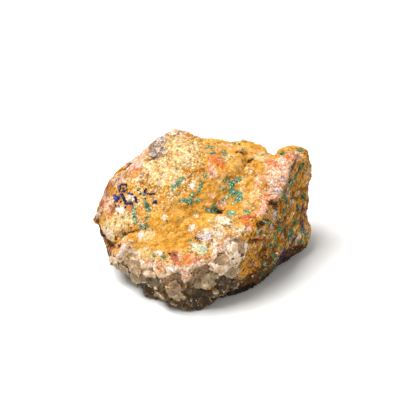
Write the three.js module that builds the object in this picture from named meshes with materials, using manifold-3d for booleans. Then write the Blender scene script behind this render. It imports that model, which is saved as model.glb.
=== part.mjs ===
// Azurite malachite hand specimen, one solid that grew as one piece.
// An ochre crust covers a mass of smoky quartz, whose lumps break out along the lower front edge.
// Millimetres, +Z up. The stone rests on a flat break under it, and the origin lies in the plane
// of that break, under the middle of the stone.

import * as THREE from 'three';
import { ConvexGeometry } from 'three/addons/geometries/ConvexGeometry.js';
import { ConvexHull } from 'three/addons/math/ConvexHull.js';
import { ImprovedNoise } from 'three/addons/math/ImprovedNoise.js';
import { mergeVertices } from 'three/addons/utils/BufferGeometryUtils.js';
import Module from 'manifold-3d';

const wasm = await Module();
wasm.setup();
const { Manifold, Mesh: SolidMesh } = wasm;

// ---- driving dimensions ----------------------------------------------------------------------

// The show face leans back. It is laid out in the plane a collector sees when looking down on it
// at this angle: a runs to the right, b up the plane and c out of it, towards the eye.
const SHOW_TILT = 35;
const BASE_LEVEL = -20; // z of the flat break, below the heart of the stone
const HEART = new THREE.Vector3(0, 1, -1); // every point of the skin is in plain sight of it

const SKIN_DIVISIONS = 18; // cuts along each edge of the icosphere that samples the skin
const EDGE_WEAR = [0.4, 0.2]; // share of each rounding pass over the broken edges
const SWELL = 0.45; // what the rounding takes off the skin, given back all over
const ROUGHNESS = [
  { wavelength: 9, height: 0.55 },
  { wavelength: 4.2, height: 0.38 },
];
const STEP_EDGE = 0.9; // width of the sharp upper side and of the ends of a step
const LUMP_ROOT = 7; // how deep a quartz lump is rooted in the stone, where it has room
const ROOT_TAPER = 0.6; // a lump narrows to this share of its width at the root
const BREAK_BLOCK = 120; // side of the block that takes away what broke off, wider than the stone

// Outline of the show face, clockwise from the left tip: a, b, c.
const OUTLINE = [
  [-35.0, -0.3, -8], [-33.7, 2.4, -9], [-32.4, 4.8, -10], [-31.6, 9.6, -11], [-28.5, 14.7, -10],
  [-23.2, 18.6, -8], [-19.2, 21.2, -6], [-14.7, 25.8, -4], [-8.7, 29.2, -2.8], [-3.8, 27.9, -3],
  [-1.3, 26.1, -3.5], [4.3, 25.6, -4], [9.9, 24.6, -5], [14.5, 25.2, -7], [19.3, 23.9, -8],
  [22.9, 20.6, -7.4], [29.3, 24.4, -7], [34.4, 23.4, -9],
  [36.3, 18.6, -11], [36.4, 13.4, -14], [35.2, 10.1, -14.5], [34.6, 5.3, -15], [33.8, 0.7, -15],
  [36.5, -3.9, -17], [35.5, -7.7, -18.4], [32.7, -11.0, -18.6], [28.8, -12.2, -15.2],
  [23.8, -15.6, -10.8], [18.7, -20.2, -5.2], [15.3, -22.7, -3], [8.0, -24.5, -0.4],
  [0.8, -28.7, 5.3], [-3.3, -29.6, 6.4], [-10.7, -28.5, 4.5], [-15.2, -25.0, 0.1],
  [-18.9, -23.2, -2], [-21.8, -20.3, -3.6], [-25.8, -17.1, -5.6], [-29.7, -13.6, -7],
  [-29.5, -11.0, -6.5], [-31.0, -7.8, -7.5], [-33.4, -2.9, -8],
];

// Corners and breaks inside the outline, row by row down the show face: a, b, c.
const UPPER_FACE = [
  [-12, 22, 0.6], [-4, 23, 0.6], [5, 22, -0.2], [14, 21.5, -2.8], [29, 20, -1.8],
  [-20, 15, 1.0], [-11, 16, 4.2], [-2, 16, 4.6], [5, 17.5, 4.6], [11, 15.5, 3.2],
  [17, 17.5, 0.2], [23, 17.5, 0.2],
];
const MIDDLE_FACE = [
  [-28, 9, -4.5], [-23, 10.5, 1.2], [-15, 9, 6.2], [-7, 9.5, 8.4], [1, 9, 7.6], [8, 8, 6.6],
  [14.5, 10, 5.8], [20, 10.5, 4.6], [24.8, 12, 2.8],
  [-29.5, 3, -3.0], [-21, 3, 5.2], [-12, 2, 9.6], [-3.5, 2, 10.6], [4, 2.5, 9.8], [12, 2.5, 9.6],
  [19, 4, 8.8], [22.6, 6.5, 6.6],
];
const LOWER_FACE = [
  [-31, -3.5, -4.0], [-24, -3.5, 4.0], [-16, -4, 9.4], [-8.5, -4, 12.2], [-1, -3, 12.8],
  [6, -3, 14.2], [13, -3, 13.4], [19.2, -1, 11.6],
  [-27.5, -9.5, 0.0], [-19.5, -9.5, 8.6], [-12, -10, 13.6], [-5, -9.5, 15.2], [2, -8, 16.2],
  [9, -8, 15.4], [15.2, -7.5, 12.4],
  [-23, -15, 4.2], [-16.5, -16.5, 10.2], [-10, -16, 15.0], [-4, -15.5, 16.6], [2, -14, 16.8],
  [8, -14, 15.0], [13, -14, 10.6],
];
const QUARTZ_FACE = [
  [-18.5, -20.2, 5.0], [-13.5, -21, 8.8], [-8, -20.5, 13.2], [-2, -20, 13.8], [4, -19.5, 13.4],
  [9, -19.2, 9.6], [-12.5, -25, 6.0], [-7, -25.4, 9.0], [-1, -25.4, 9.6], [5, -23.6, 8.0],
  [11, -21.4, 3.6],
];
const RIGHT_FACE = [
  [28.5, 16.5, -2.6], [31.5, 12, -8.2], [27.2, 8.5, -0.8], [31, 4, -8.6], [25.2, 1, 2.6],
  [30.4, -3, -8.4], [21.8, -4, 8.0], [26.4, -7, -1.6], [30.6, -8.6, -10.6], [19, -9.5, 8.4],
  [23.6, -12.6, -0.4], [15.8, -15, 6.2], [20.2, -16.6, 0.8], [12.6, -19.8, 3.0], [17.6, -19.6, -1.4],
];

// Corners of the sides that the show face hides, and of the underside: x, y, z from the heart.
const BACK = [
  [-26, 20, 0], [-17, 23.5, 6.5], [-7, 25, 10.5], [4, 25.5, 7], [14, 26.5, 5], [24, 25.5, 0],
  [22.6, 21.2, 6.2], [29.6, 23.2, 9.4], [31.5, 23, 1], [-29.5, 17.5, -8], [-19, 24, -5],
  [-6, 27.2, -3], [7, 26.4, -6], [18, 27.8, -7], [28.5, 23.5, -8], [-26, 15, -16],
  [-14, 20.5, -16.5], [0, 24, -15.5], [13, 24.5, -17], [25, 21, -16], [32, 15.5, -15],
];
const LEFT_FLANK = [
  [-34, 12.5, -4], [-33, 6.5, -9], [-30.5, 7.5, -15], [-27, 1.5, -18.6], [-23.5, -4, -19.4],
];
const UNDERSIDE = [
  [-16, -9, -20.2], [-4, -15, -20.9], [9, -10, -20.8], [20, 1.5, -20.8], [28, 11, -19.2],
  [-17, 4, -20.3], [-2, 0, -21.4], [11, 8, -21.2], [-15, 13, -18.6], [2, 17, -19.9],
  [18, 17, -19.7],
];

// Raised and sunken strips of the show face: a path in a, b, the width either side of it and the
// height of the skin there. A step stands up on its lower side only and fades away over its fall.
const RIDGES = [
  { path: [[27.5, 19], [25, 13], [22.2, 6], [18.6, -1]], width: 2.0, height: 1.0 },
  { path: [[-29, -9.8], [-25.5, -8.6], [-22.2, -6.6]], width: 1.5, height: 0.9 },
  { path: [[2.8, 19.4], [6, 15]], width: 2.6, height: 0.9 },
  { path: [[19, 19], [13, 12], [7, 5], [0, 0], [-12, -7]], width: 3.6, height: -1.1 },
  { path: [[-30.5, -7.4], [-26, -5.6], [-18, -3.2]], width: 1.6, height: -1.2 },
  { path: [[-34.5, -2.4], [-31.5, -6.6], [-28, -9.4]], width: 1.3, height: -1.4 },
  { path: [[14, 21.6], [16.5, 19], [12.6, 16]], width: 1.2, height: -1.0 },
  { path: [[5.2, 2.4], [6.4, 1.6]], width: 1.6, height: -2.2 },
  { path: [[-4.8, 15.6], [-4.2, 15.2]], width: 1.5, height: -0.9 },
  { path: [[34.6, 10], [30, 9.6]], width: 1.6, height: -0.9 },
];
const STEPS = [
  { path: [[-3.5, -1.8], [3, 0.4], [9, 0.1], [19, 1]], rise: 1.5, fall: 6.5 },
  { path: [[-15, -12.6], [-9, -13.4], [-2, -12.8]], rise: 0.9, fall: 3.2 },
];

// Lumps that stand out of the skin: quartz along the lower front edge, crust at the two tips and
// on the brow of the right-hand lobe. Each has its corners in a, b, the depth c of its broken
// front, the lean of that front across and up the show face, and the width of the chamfer round it.
const LUMPS = {
  leftBlock: {
    corners: [[-25.4, -10.6], [-22.6, -9.4], [-19.6, -12.6], [-17, -15.6], [-16.2, -18.6],
      [-19, -18.4], [-23.2, -16.6]],
    depth: 8.4, lean: [0.62, -0.16], chamfer: 1.0, root: 5,
  },
  leftLedge: {
    corners: [[-23.2, -16.8], [-19.4, -16.8], [-14, -18.9], [-15.4, -20.7], [-20.2, -21.6],
      [-22.6, -20.4]],
    depth: 6.9, lean: [0.6, 0.35], chamfer: 0.8, root: 4,
  },
  farLeft: {
    corners: [[-30.0, -12.0], [-26.4, -12.4], [-24.2, -14], [-23.2, -17.8], [-26.0, -17.2],
      [-29.5, -14.8]],
    depth: 0.7, lean: [0.85, 0.2], chamfer: 0.7, root: 3,
  },
  metallicChunk: {
    corners: [[-19.3, -21.4], [-16, -20.8], [-12.6, -21.6], [-12.4, -24.6], [-15.2, -25.3],
      [-17.6, -24.8], [-19.1, -23.4]],
    depth: 4.6, lean: [0.5, 0.3], chamfer: 0.8, root: 4,
  },
  bigBlock: {
    corners: [[-13.9, -18.4], [-10, -16.8], [-6.2, -17.6], [-4.8, -20.6], [-5.4, -22.4],
      [-10.9, -22.4]],
    depth: 15.2, lean: [0.16, 0.1], chamfer: 0.7,
  },
  bigBlockFoot: {
    corners: [[-11.4, -21.4], [-5.6, -21.6], [-5.2, -24.8], [-8.6, -25.7], [-10.5, -24.9]],
    depth: 13.0, lean: [0.1, 0.75], chamfer: 0.6,
  },
  bigBlockFlank: {
    corners: [[-15, -19], [-13, -18.8], [-9.6, -25.4], [-12.4, -26.2], [-15.2, -22.8]],
    depth: 10.0, lean: [1.15, 0.25], chamfer: 0.6, root: 4,
  },
  smokyMiddle: {
    corners: [[-4, -15.5], [-1.8, -14.8], [0.8, -13.8], [3.2, -16], [1.6, -17.8], [-0.6, -18.9],
      [-3.8, -18.9]],
    depth: 17.2, lean: [-0.15, 0.28], chamfer: 0.8,
  },
  smokyMiddleFoot: {
    corners: [[-4.9, -18.8], [-0.4, -18.4], [-1, -21.6], [-4.6, -22.4]],
    depth: 14.0, lean: [0.22, 0.62], chamfer: 0.7,
  },
  palePebble: {
    corners: [[0.2, -18], [1.6, -16.8], [3, -16.6], [4.8, -18.1], [4.5, -20.6], [2.4, -22.2],
      [-0.4, -21.8], [-1.3, -19.8]],
    depth: 15.9, lean: [-0.1, 0.42], chamfer: 1.2,
  },
  upperRight: {
    corners: [[4.6, -9.8], [7.4, -10.4], [9.2, -12.2], [8.9, -14.3], [6.2, -15.6], [3.6, -15.8],
      [2.8, -14.2], [3.2, -12]],
    depth: 17.4, lean: [-0.22, 0.1], chamfer: 1.0,
  },
  paleShoulder: {
    corners: [[8, -7.4], [10.8, -6.2], [13.8, -6.8], [14.6, -9.2], [13.6, -11.8], [11.4, -12.8],
      [8.6, -11.6], [7.4, -9.6]],
    depth: 16.6, lean: [-0.42, 0.02], chamfer: 1.3,
  },
  paleLedge: {
    corners: [[3, -16.2], [6.4, -18], [10, -15.2], [13.8, -12], [11.2, -12.2], [8.6, -14],
      [5.8, -15.4]],
    depth: 15.4, lean: [-0.3, 0.5], chamfer: 0.6,
  },
  oliveWedge: {
    corners: [[7, -17.6], [9.8, -15.2], [11.4, -16], [11.2, -18], [8.6, -19.4]],
    depth: 13.0, lean: [-0.75, 0.2], chamfer: 0.5,
  },
  darkRight: {
    corners: [[4.6, -18], [7, -17.6], [8.8, -19.3], [11.4, -19], [11.2, -21.6], [8, -23.2],
      [5.2, -22.4]],
    depth: 11.4, lean: [-0.6, 0.5], chamfer: 0.9,
  },
  spark: {
    corners: [[2.8, -22.4], [4.3, -22.5], [5.1, -23.6], [4.3, -24.2], [3, -23.8]],
    depth: 11.6, lean: [-0.2, 0.4], chamfer: 0.4,
  },
  lowerMiddle: {
    corners: [[-5.6, -22], [-1, -21.6], [2.4, -22.6], [3.4, -24.8], [-0.6, -25.8], [-5.4, -25.2]],
    depth: 11.8, lean: [-0.1, 0.8], chamfer: 0.8,
  },
  lowerLeft: {
    corners: [[-10.6, -25.8], [-5.2, -25], [-5.6, -28.2], [-8, -28.7], [-11.4, -28.1]],
    depth: 8.6, lean: [0.5, 0.7], chamfer: 0.6, root: 4,
  },
  lowerFront: {
    corners: [[-5.2, -25.2], [3, -24.8], [4.4, -26.2], [2.6, -27.8], [-0.6, -29.0], [-3.2, -29.2],
      [-5.4, -28.6]],
    depth: 8.8, lean: [-0.3, 0.9], chamfer: 0.6,
  },
  leftTip: {
    corners: [[-35.2, -0.4], [-33.8, 1.6], [-31.6, 0.6], [-32, -2.4], [-34, -1.6]],
    depth: -6.4, lean: [1.0, -0.2], chamfer: 0.5, root: 2,
  },
  lobeBrow: {
    corners: [[23.7, 20.4], [24.4, 22.1], [26.0, 23.2], [29.0, 23.8], [32.2, 23.1], [34.1, 22.0],
      [34.6, 19.4], [31, 17.8], [26.6, 18.2]],
    depth: -3.9, lean: [-0.5, -0.85], chamfer: 1.1, root: 5,
  },
  apexTip: {
    corners: [[-9.9, 27.5], [-8.9, 28.9], [-7, 28.4], [-5.8, 27], [-7.6, 26], [-9.6, 26.4]],
    depth: -1.6, lean: [-0.3, -0.3], chamfer: 0.6, root: 2.5,
  },
};

// The notch broken out of the top edge: its corners in a, b, and how far it runs in c.
const NOTCH = {
  corners: [[19.5, 27], [20.1, 23.0], [20.7, 21.4], [22.0, 20.6], [23.7, 20.2], [24.9, 22.4],
    [26.4, 24], [27, 27]],
  front: 2,
  back: -30,
};

// Flat breaks across the sides the show face hides: the way each faces, in degrees round from +X
// and up from level, and how deep it bites into the swell of the stone there.
const BREAKS = [
  { round: 64, up: -2, bite: 0.7 },
  { round: 84, up: 10, bite: 1.2 },
  { round: 104, up: 2, bite: 1.6 },
  { round: 124, up: 12, bite: 1.1 },
  { round: 143, up: -6, bite: 1.8 },
  { round: 74, up: -24, bite: 1.8 },
  { round: 98, up: -34, bite: 2.2 },
  { round: 122, up: -30, bite: 2.0 },
  { round: 156, up: -34, bite: 2.4 },
  { round: 182, up: -42, bite: 1.8 },
  { round: 206, up: -48, bite: 1.4 },
  { round: 52, up: -38, bite: 1.6 },
  { round: 20, up: -44, bite: 0.9 },
];

// ---- the show plane --------------------------------------------------------------------------

const TILT_SIN = Math.sin(THREE.MathUtils.degToRad(SHOW_TILT));
const TILT_COS = Math.cos(THREE.MathUtils.degToRad(SHOW_TILT));
const EYE = new THREE.Vector3(0, -TILT_COS, TILT_SIN);
const SHOW_UP = new THREE.Vector3(0, TILT_SIN, TILT_COS);

function shown(a, b, c) {
  return new THREE.Vector3(a, 0, 0).addScaledVector(SHOW_UP, b).addScaledVector(EYE, c);
}

function distanceToPath(a, b, path) {
  const spot = new THREE.Vector3(a, b, 0);
  const near = new THREE.Vector3();
  const ends = [path[0], path[path.length - 1]].map((end) => new THREE.Vector3(...end, 0));
  let best = { distance: Infinity };
  for (let i = 1; i < path.length; i += 1) {
    const from = new THREE.Vector3(...path[i - 1], 0);
    const to = new THREE.Vector3(...path[i], 0);
    new THREE.Line3(from, to).closestPointToPoint(spot, true, near);
    const distance = near.distanceTo(spot);
    if (distance < best.distance) {
      best = { distance, below: spot.y < near.y, atEnd: ends.some((end) => end.equals(near)) };
    }
  }
  return best;
}

// Height of the skin's ridges, grooves and steps at a spot of the show face.
function relief(a, b) {
  let height = 0;
  for (const ridge of RIDGES) {
    const { distance } = distanceToPath(a, b, ridge.path);
    height += ridge.height * Math.exp(-((distance / ridge.width) ** 2));
  }
  for (const step of STEPS) {
    const { distance, below, atEnd } = distanceToPath(a, b, step.path);
    const fall = below && !atEnd ? step.fall : STEP_EDGE;
    height += step.rise * Math.exp(-((distance / fall) ** 2));
  }
  return height;
}

// ---- the crust -------------------------------------------------------------------------------

// Triangles between the corners, taken from the hull of their directions from the heart.
function starFacets(corners) {
  const cornerOf = new Map();
  for (const corner of corners) {
    const fromHeart = corner.clone().sub(HEART);
    cornerOf.set(fromHeart.clone().normalize(), fromHeart);
  }
  const hull = new ConvexHull().setFromPoints([...cornerOf.keys()]);
  return hull.faces.map((face) => {
    const first = face.edge;
    const triangle = [first, first.next, first.prev].map((edge) => edge.head().point);
    return triangle.map((direction) => cornerOf.get(direction));
  });
}

// The skin sampled along the directions of an icosphere, so that its triangles are even.
function sampleSkin(facets) {
  const sphere = new THREE.IcosahedronGeometry(1, SKIN_DIVISIONS);
  sphere.deleteAttribute('normal');
  sphere.deleteAttribute('uv');
  const skin = mergeVertices(sphere, 1e-5);
  const place = skin.attributes.position;
  const ray = new THREE.Ray();
  const hit = new THREE.Vector3();
  for (let i = 0; i < place.count; i += 1) {
    ray.direction.fromBufferAttribute(place, i).normalize();
    for (const [p, q, r] of facets) {
      if (ray.intersectTriangle(p, q, r, false, hit)) {
        place.setXYZ(i, hit.x, hit.y, hit.z);
        break;
      }
    }
  }
  return skin;
}

function wearEdges(skin, share) {
  const place = skin.attributes.position;
  const sums = Array.from({ length: place.count }, () => new THREE.Vector4(0, 0, 0, 0));
  const triangle = skin.index.array;
  for (let i = 0; i < triangle.length; i += 1) {
    const mate = triangle[i % 3 === 2 ? i - 2 : i + 1];
    sums[triangle[i]].add(new THREE.Vector4(place.getX(mate), place.getY(mate), place.getZ(mate), 1));
  }
  sums.forEach((sum, i) => {
    const mean = new THREE.Vector3(sum.x, sum.y, sum.z).divideScalar(sum.w);
    const spot = new THREE.Vector3().fromBufferAttribute(place, i).lerp(mean, share);
    place.setXYZ(i, spot.x, spot.y, spot.z);
  });
}

function roughen(skin) {
  const noise = new ImprovedNoise();
  skin.computeVertexNormals();
  const place = skin.attributes.position;
  const spot = new THREE.Vector3();
  const outward = new THREE.Vector3();
  for (let i = 0; i < place.count; i += 1) {
    spot.fromBufferAttribute(place, i);
    outward.fromBufferAttribute(skin.attributes.normal, i);
    let lift = SWELL;
    for (const { wavelength, height } of ROUGHNESS) {
      const q = spot.clone().divideScalar(wavelength);
      lift += height * noise.noise(q.x + wavelength, q.y, q.z);
    }
    const facing = THREE.MathUtils.smoothstep(outward.dot(EYE), 0.02, 0.3);
    const onSkin = spot.clone().add(HEART);
    lift += facing * relief(onSkin.x, onSkin.dot(SHOW_UP));
    spot.addScaledVector(outward, lift).add(HEART);
    place.setXYZ(i, spot.x, spot.y, spot.z);
  }
}

function makeCrust() {
  const seen = [...OUTLINE, ...UPPER_FACE, ...MIDDLE_FACE, ...LOWER_FACE, ...QUARTZ_FACE, ...RIGHT_FACE];
  const hidden = [...BACK, ...LEFT_FLANK, ...UNDERSIDE];
  const corners = seen.map((corner) => shown(...corner));
  corners.push(...hidden.map((corner) => new THREE.Vector3(...corner)));
  const skin = sampleSkin(starFacets(corners));
  for (const share of EDGE_WEAR) {
    wearEdges(skin, share);
  }
  roughen(skin);
  return skin;
}

// ---- the lumps -------------------------------------------------------------------------------

// A lump is the hull of its chamfered front, its rim behind the chamfer and its root in the stone.
function makeLump({ corners, depth, lean, chamfer, root = LUMP_ROOT }) {
  const middle = new THREE.Vector2();
  for (const corner of corners) {
    middle.add(new THREE.Vector2(...corner).divideScalar(corners.length));
  }
  const points = [];
  for (const [a, b] of corners) {
    const out = new THREE.Vector2(a, b).sub(middle);
    const shrink = Math.max(1 - chamfer / out.length(), 0.3);
    const front = out.clone().multiplyScalar(shrink);
    const frontDepth = depth + lean[0] * front.x + lean[1] * front.y;
    const rimDepth = depth + lean[0] * out.x + lean[1] * out.y - chamfer;
    points.push(shown(middle.x + front.x, middle.y + front.y, frontDepth));
    points.push(shown(a, b, rimDepth));
    points.push(shown(middle.x + ROOT_TAPER * out.x, middle.y + ROOT_TAPER * out.y, rimDepth - root));
  }
  return new ConvexGeometry(points);
}

// ---- the breaks ------------------------------------------------------------------------------

// A block laid against the stone with its face along the break; what lies inside it broke away.
function makeBreak(crust, { round, up, bite }) {
  const facing = new THREE.Vector3().setFromSphericalCoords(
    1,
    THREE.MathUtils.degToRad(90 - up),
    THREE.MathUtils.degToRad(round),
  );
  const outward = new THREE.Vector3(facing.z, facing.x, facing.y);
  const place = crust.attributes.position;
  let reach = -Infinity;
  for (let i = 0; i < place.count; i += 1) {
    reach = Math.max(reach, outward.dot(new THREE.Vector3().fromBufferAttribute(place, i)));
  }
  const block = new THREE.BoxGeometry(BREAK_BLOCK, BREAK_BLOCK, BREAK_BLOCK);
  block.translate(0, 0, reach - bite + BREAK_BLOCK / 2);
  const turn = new THREE.Quaternion().setFromUnitVectors(new THREE.Vector3(0, 0, 1), outward);
  return block.applyQuaternion(turn);
}

function makeNotch({ corners, front, back }) {
  const points = [];
  for (const [a, b] of corners) {
    points.push(shown(a, b, front), shown(a, b, back));
  }
  return new ConvexGeometry(points);
}

// ---- the specimen ----------------------------------------------------------------------------

function toSolid(geometry) {
  const bare = geometry.clone();
  bare.deleteAttribute('normal');
  bare.deleteAttribute('uv');
  const merged = mergeVertices(bare, 1e-4);
  return new Manifold(new SolidMesh({
    numProp: 3,
    vertProperties: Float32Array.from(merged.attributes.position.array),
    triVerts: Uint32Array.from(merged.index.array),
  }));
}

function toGeometry(solid) {
  const { vertProperties, triVerts } = solid.getMesh();
  const geometry = new THREE.BufferGeometry();
  geometry.setAttribute('position', new THREE.BufferAttribute(Float32Array.from(vertProperties), 3));
  geometry.setIndex(new THREE.BufferAttribute(Uint32Array.from(triVerts), 1));
  return geometry;
}

function makeSpecimen() {
  const crust = makeCrust();
  let solid = toSolid(crust);
  for (const flat of BREAKS) {
    solid = solid.subtract(toSolid(makeBreak(crust, flat)));
  }
  solid = solid.subtract(toSolid(makeNotch(NOTCH)));
  for (const lump of Object.values(LUMPS)) {
    solid = solid.add(toSolid(makeLump(lump)));
  }
  const belowBase = new THREE.BoxGeometry(BREAK_BLOCK, BREAK_BLOCK, BREAK_BLOCK);
  belowBase.translate(0, 0, BASE_LEVEL - BREAK_BLOCK / 2);
  const geometry = toGeometry(solid.subtract(toSolid(belowBase)));
  geometry.computeBoundingBox();
  const middle = geometry.boundingBox.getCenter(new THREE.Vector3());
  geometry.translate(-middle.x, -middle.y, -BASE_LEVEL);
  geometry.computeVertexNormals();
  return geometry;
}

const stone = new THREE.Mesh(
  makeSpecimen(),
  new THREE.MeshStandardMaterial({ color: '#cf9b5a', roughness: 0.85, metalness: 0 }),
);
stone.name = 'stone';

const specimen = new THREE.Group();
specimen.add(stone);

export default specimen;
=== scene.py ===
"""Dresses a hand specimen of azurite and malachite.

An ochre crust lies over a mass of smoky quartz that shows along the broken front edge. Malachite
and azurite grow on the crust as small crusts of crystals. Everything is laid out in millimetres
on the show face: a runs across it, b up it and c out of it.
"""

import math
from itertools import product

import bpy
import bmesh
import numpy as np
from mathutils import Matrix, Vector
from mathutils.bvhtree import BVHTree


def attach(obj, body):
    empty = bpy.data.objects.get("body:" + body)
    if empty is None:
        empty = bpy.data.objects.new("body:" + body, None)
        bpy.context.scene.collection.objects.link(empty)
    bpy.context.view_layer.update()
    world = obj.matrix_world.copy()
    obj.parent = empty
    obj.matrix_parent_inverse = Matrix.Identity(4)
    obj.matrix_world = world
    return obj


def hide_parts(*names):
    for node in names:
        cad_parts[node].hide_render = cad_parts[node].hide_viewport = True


bl_info = {
    "name": "Azurite malachite specimen",
    "version": (1, 0, 0),
    "blender": (4, 5, 0),
    "location": "3D View > Sidebar > Specimen",
    "description": "Ochre crust, smoky quartz, malachite and azurite for a hand specimen",
    "category": "Add Mesh",
}

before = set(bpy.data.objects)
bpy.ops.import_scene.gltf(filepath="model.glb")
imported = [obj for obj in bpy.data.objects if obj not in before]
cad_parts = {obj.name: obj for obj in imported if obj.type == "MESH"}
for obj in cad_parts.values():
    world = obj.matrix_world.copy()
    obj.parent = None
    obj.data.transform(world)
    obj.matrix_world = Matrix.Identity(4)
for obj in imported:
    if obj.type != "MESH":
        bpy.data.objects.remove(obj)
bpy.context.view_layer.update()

# ---- layout of the show face
MM = 0.001
SHOW_TILT = math.radians(35)
LAYOUT_ORIGIN = np.array((-0.148, -1.151, 20.0))
ACROSS = np.array((1.0, 0.0, 0.0))
UP = np.array((0.0, math.sin(SHOW_TILT), math.cos(SHOW_TILT)))
OUT = np.array((0.0, -math.cos(SHOW_TILT), math.sin(SHOW_TILT)))
AXES = np.array((ACROSS, UP, OUT))

# Broken edge where the quartz shows, as an outline on the show face
QUARTZ_EDGE = [
    (-30.6, -11.4), (-29.4, -12.2), (-27.8, -12.4), (-25.6, -12.5), (-25.2, -10.6), (-23.8, -9.9),
    (-22.2, -10.2), (-21, -11.4), (-19.6, -13.2), (-18.9, -15.4), (-17, -15.2), (-15.2, -15.2),
    (-14.6, -16.8), (-14.2, -18.4), (-12.6, -18.2), (-11.4, -17.6), (-10.2, -17.2), (-9.6, -16.6),
    (-8.8, -17), (-7.8, -16.4), (-6.6, -17.2), (-5.8, -18.8), (-5.2, -19.9), (-4.2, -19.2), (-3.9, -17.6),
    (-3.8, -15.8), (-2.4, -14.9), (-0.8, -14.2), (0.6, -13.8), (1.8, -14.4), (2.6, -13.6), (3.2, -12.4),
    (4.4, -10.8), (4.9, -9.7), (7.2, -9.9), (7.6, -8.4), (8.6, -7), (10.8, -6), (13.4, -6.6), (14.4, -8.4),
    (14.2, -10.8), (13.6, -12.6), (11.9, -13.6), (11.3, -15), (11.2, -16.8), (11.8, -18.6), (12.4, -20.6),
    (11.4, -22.4), (8.6, -23.6), (6, -27), (0, -32), (-12, -32), (-20, -27), (-32, -18),
]

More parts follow.
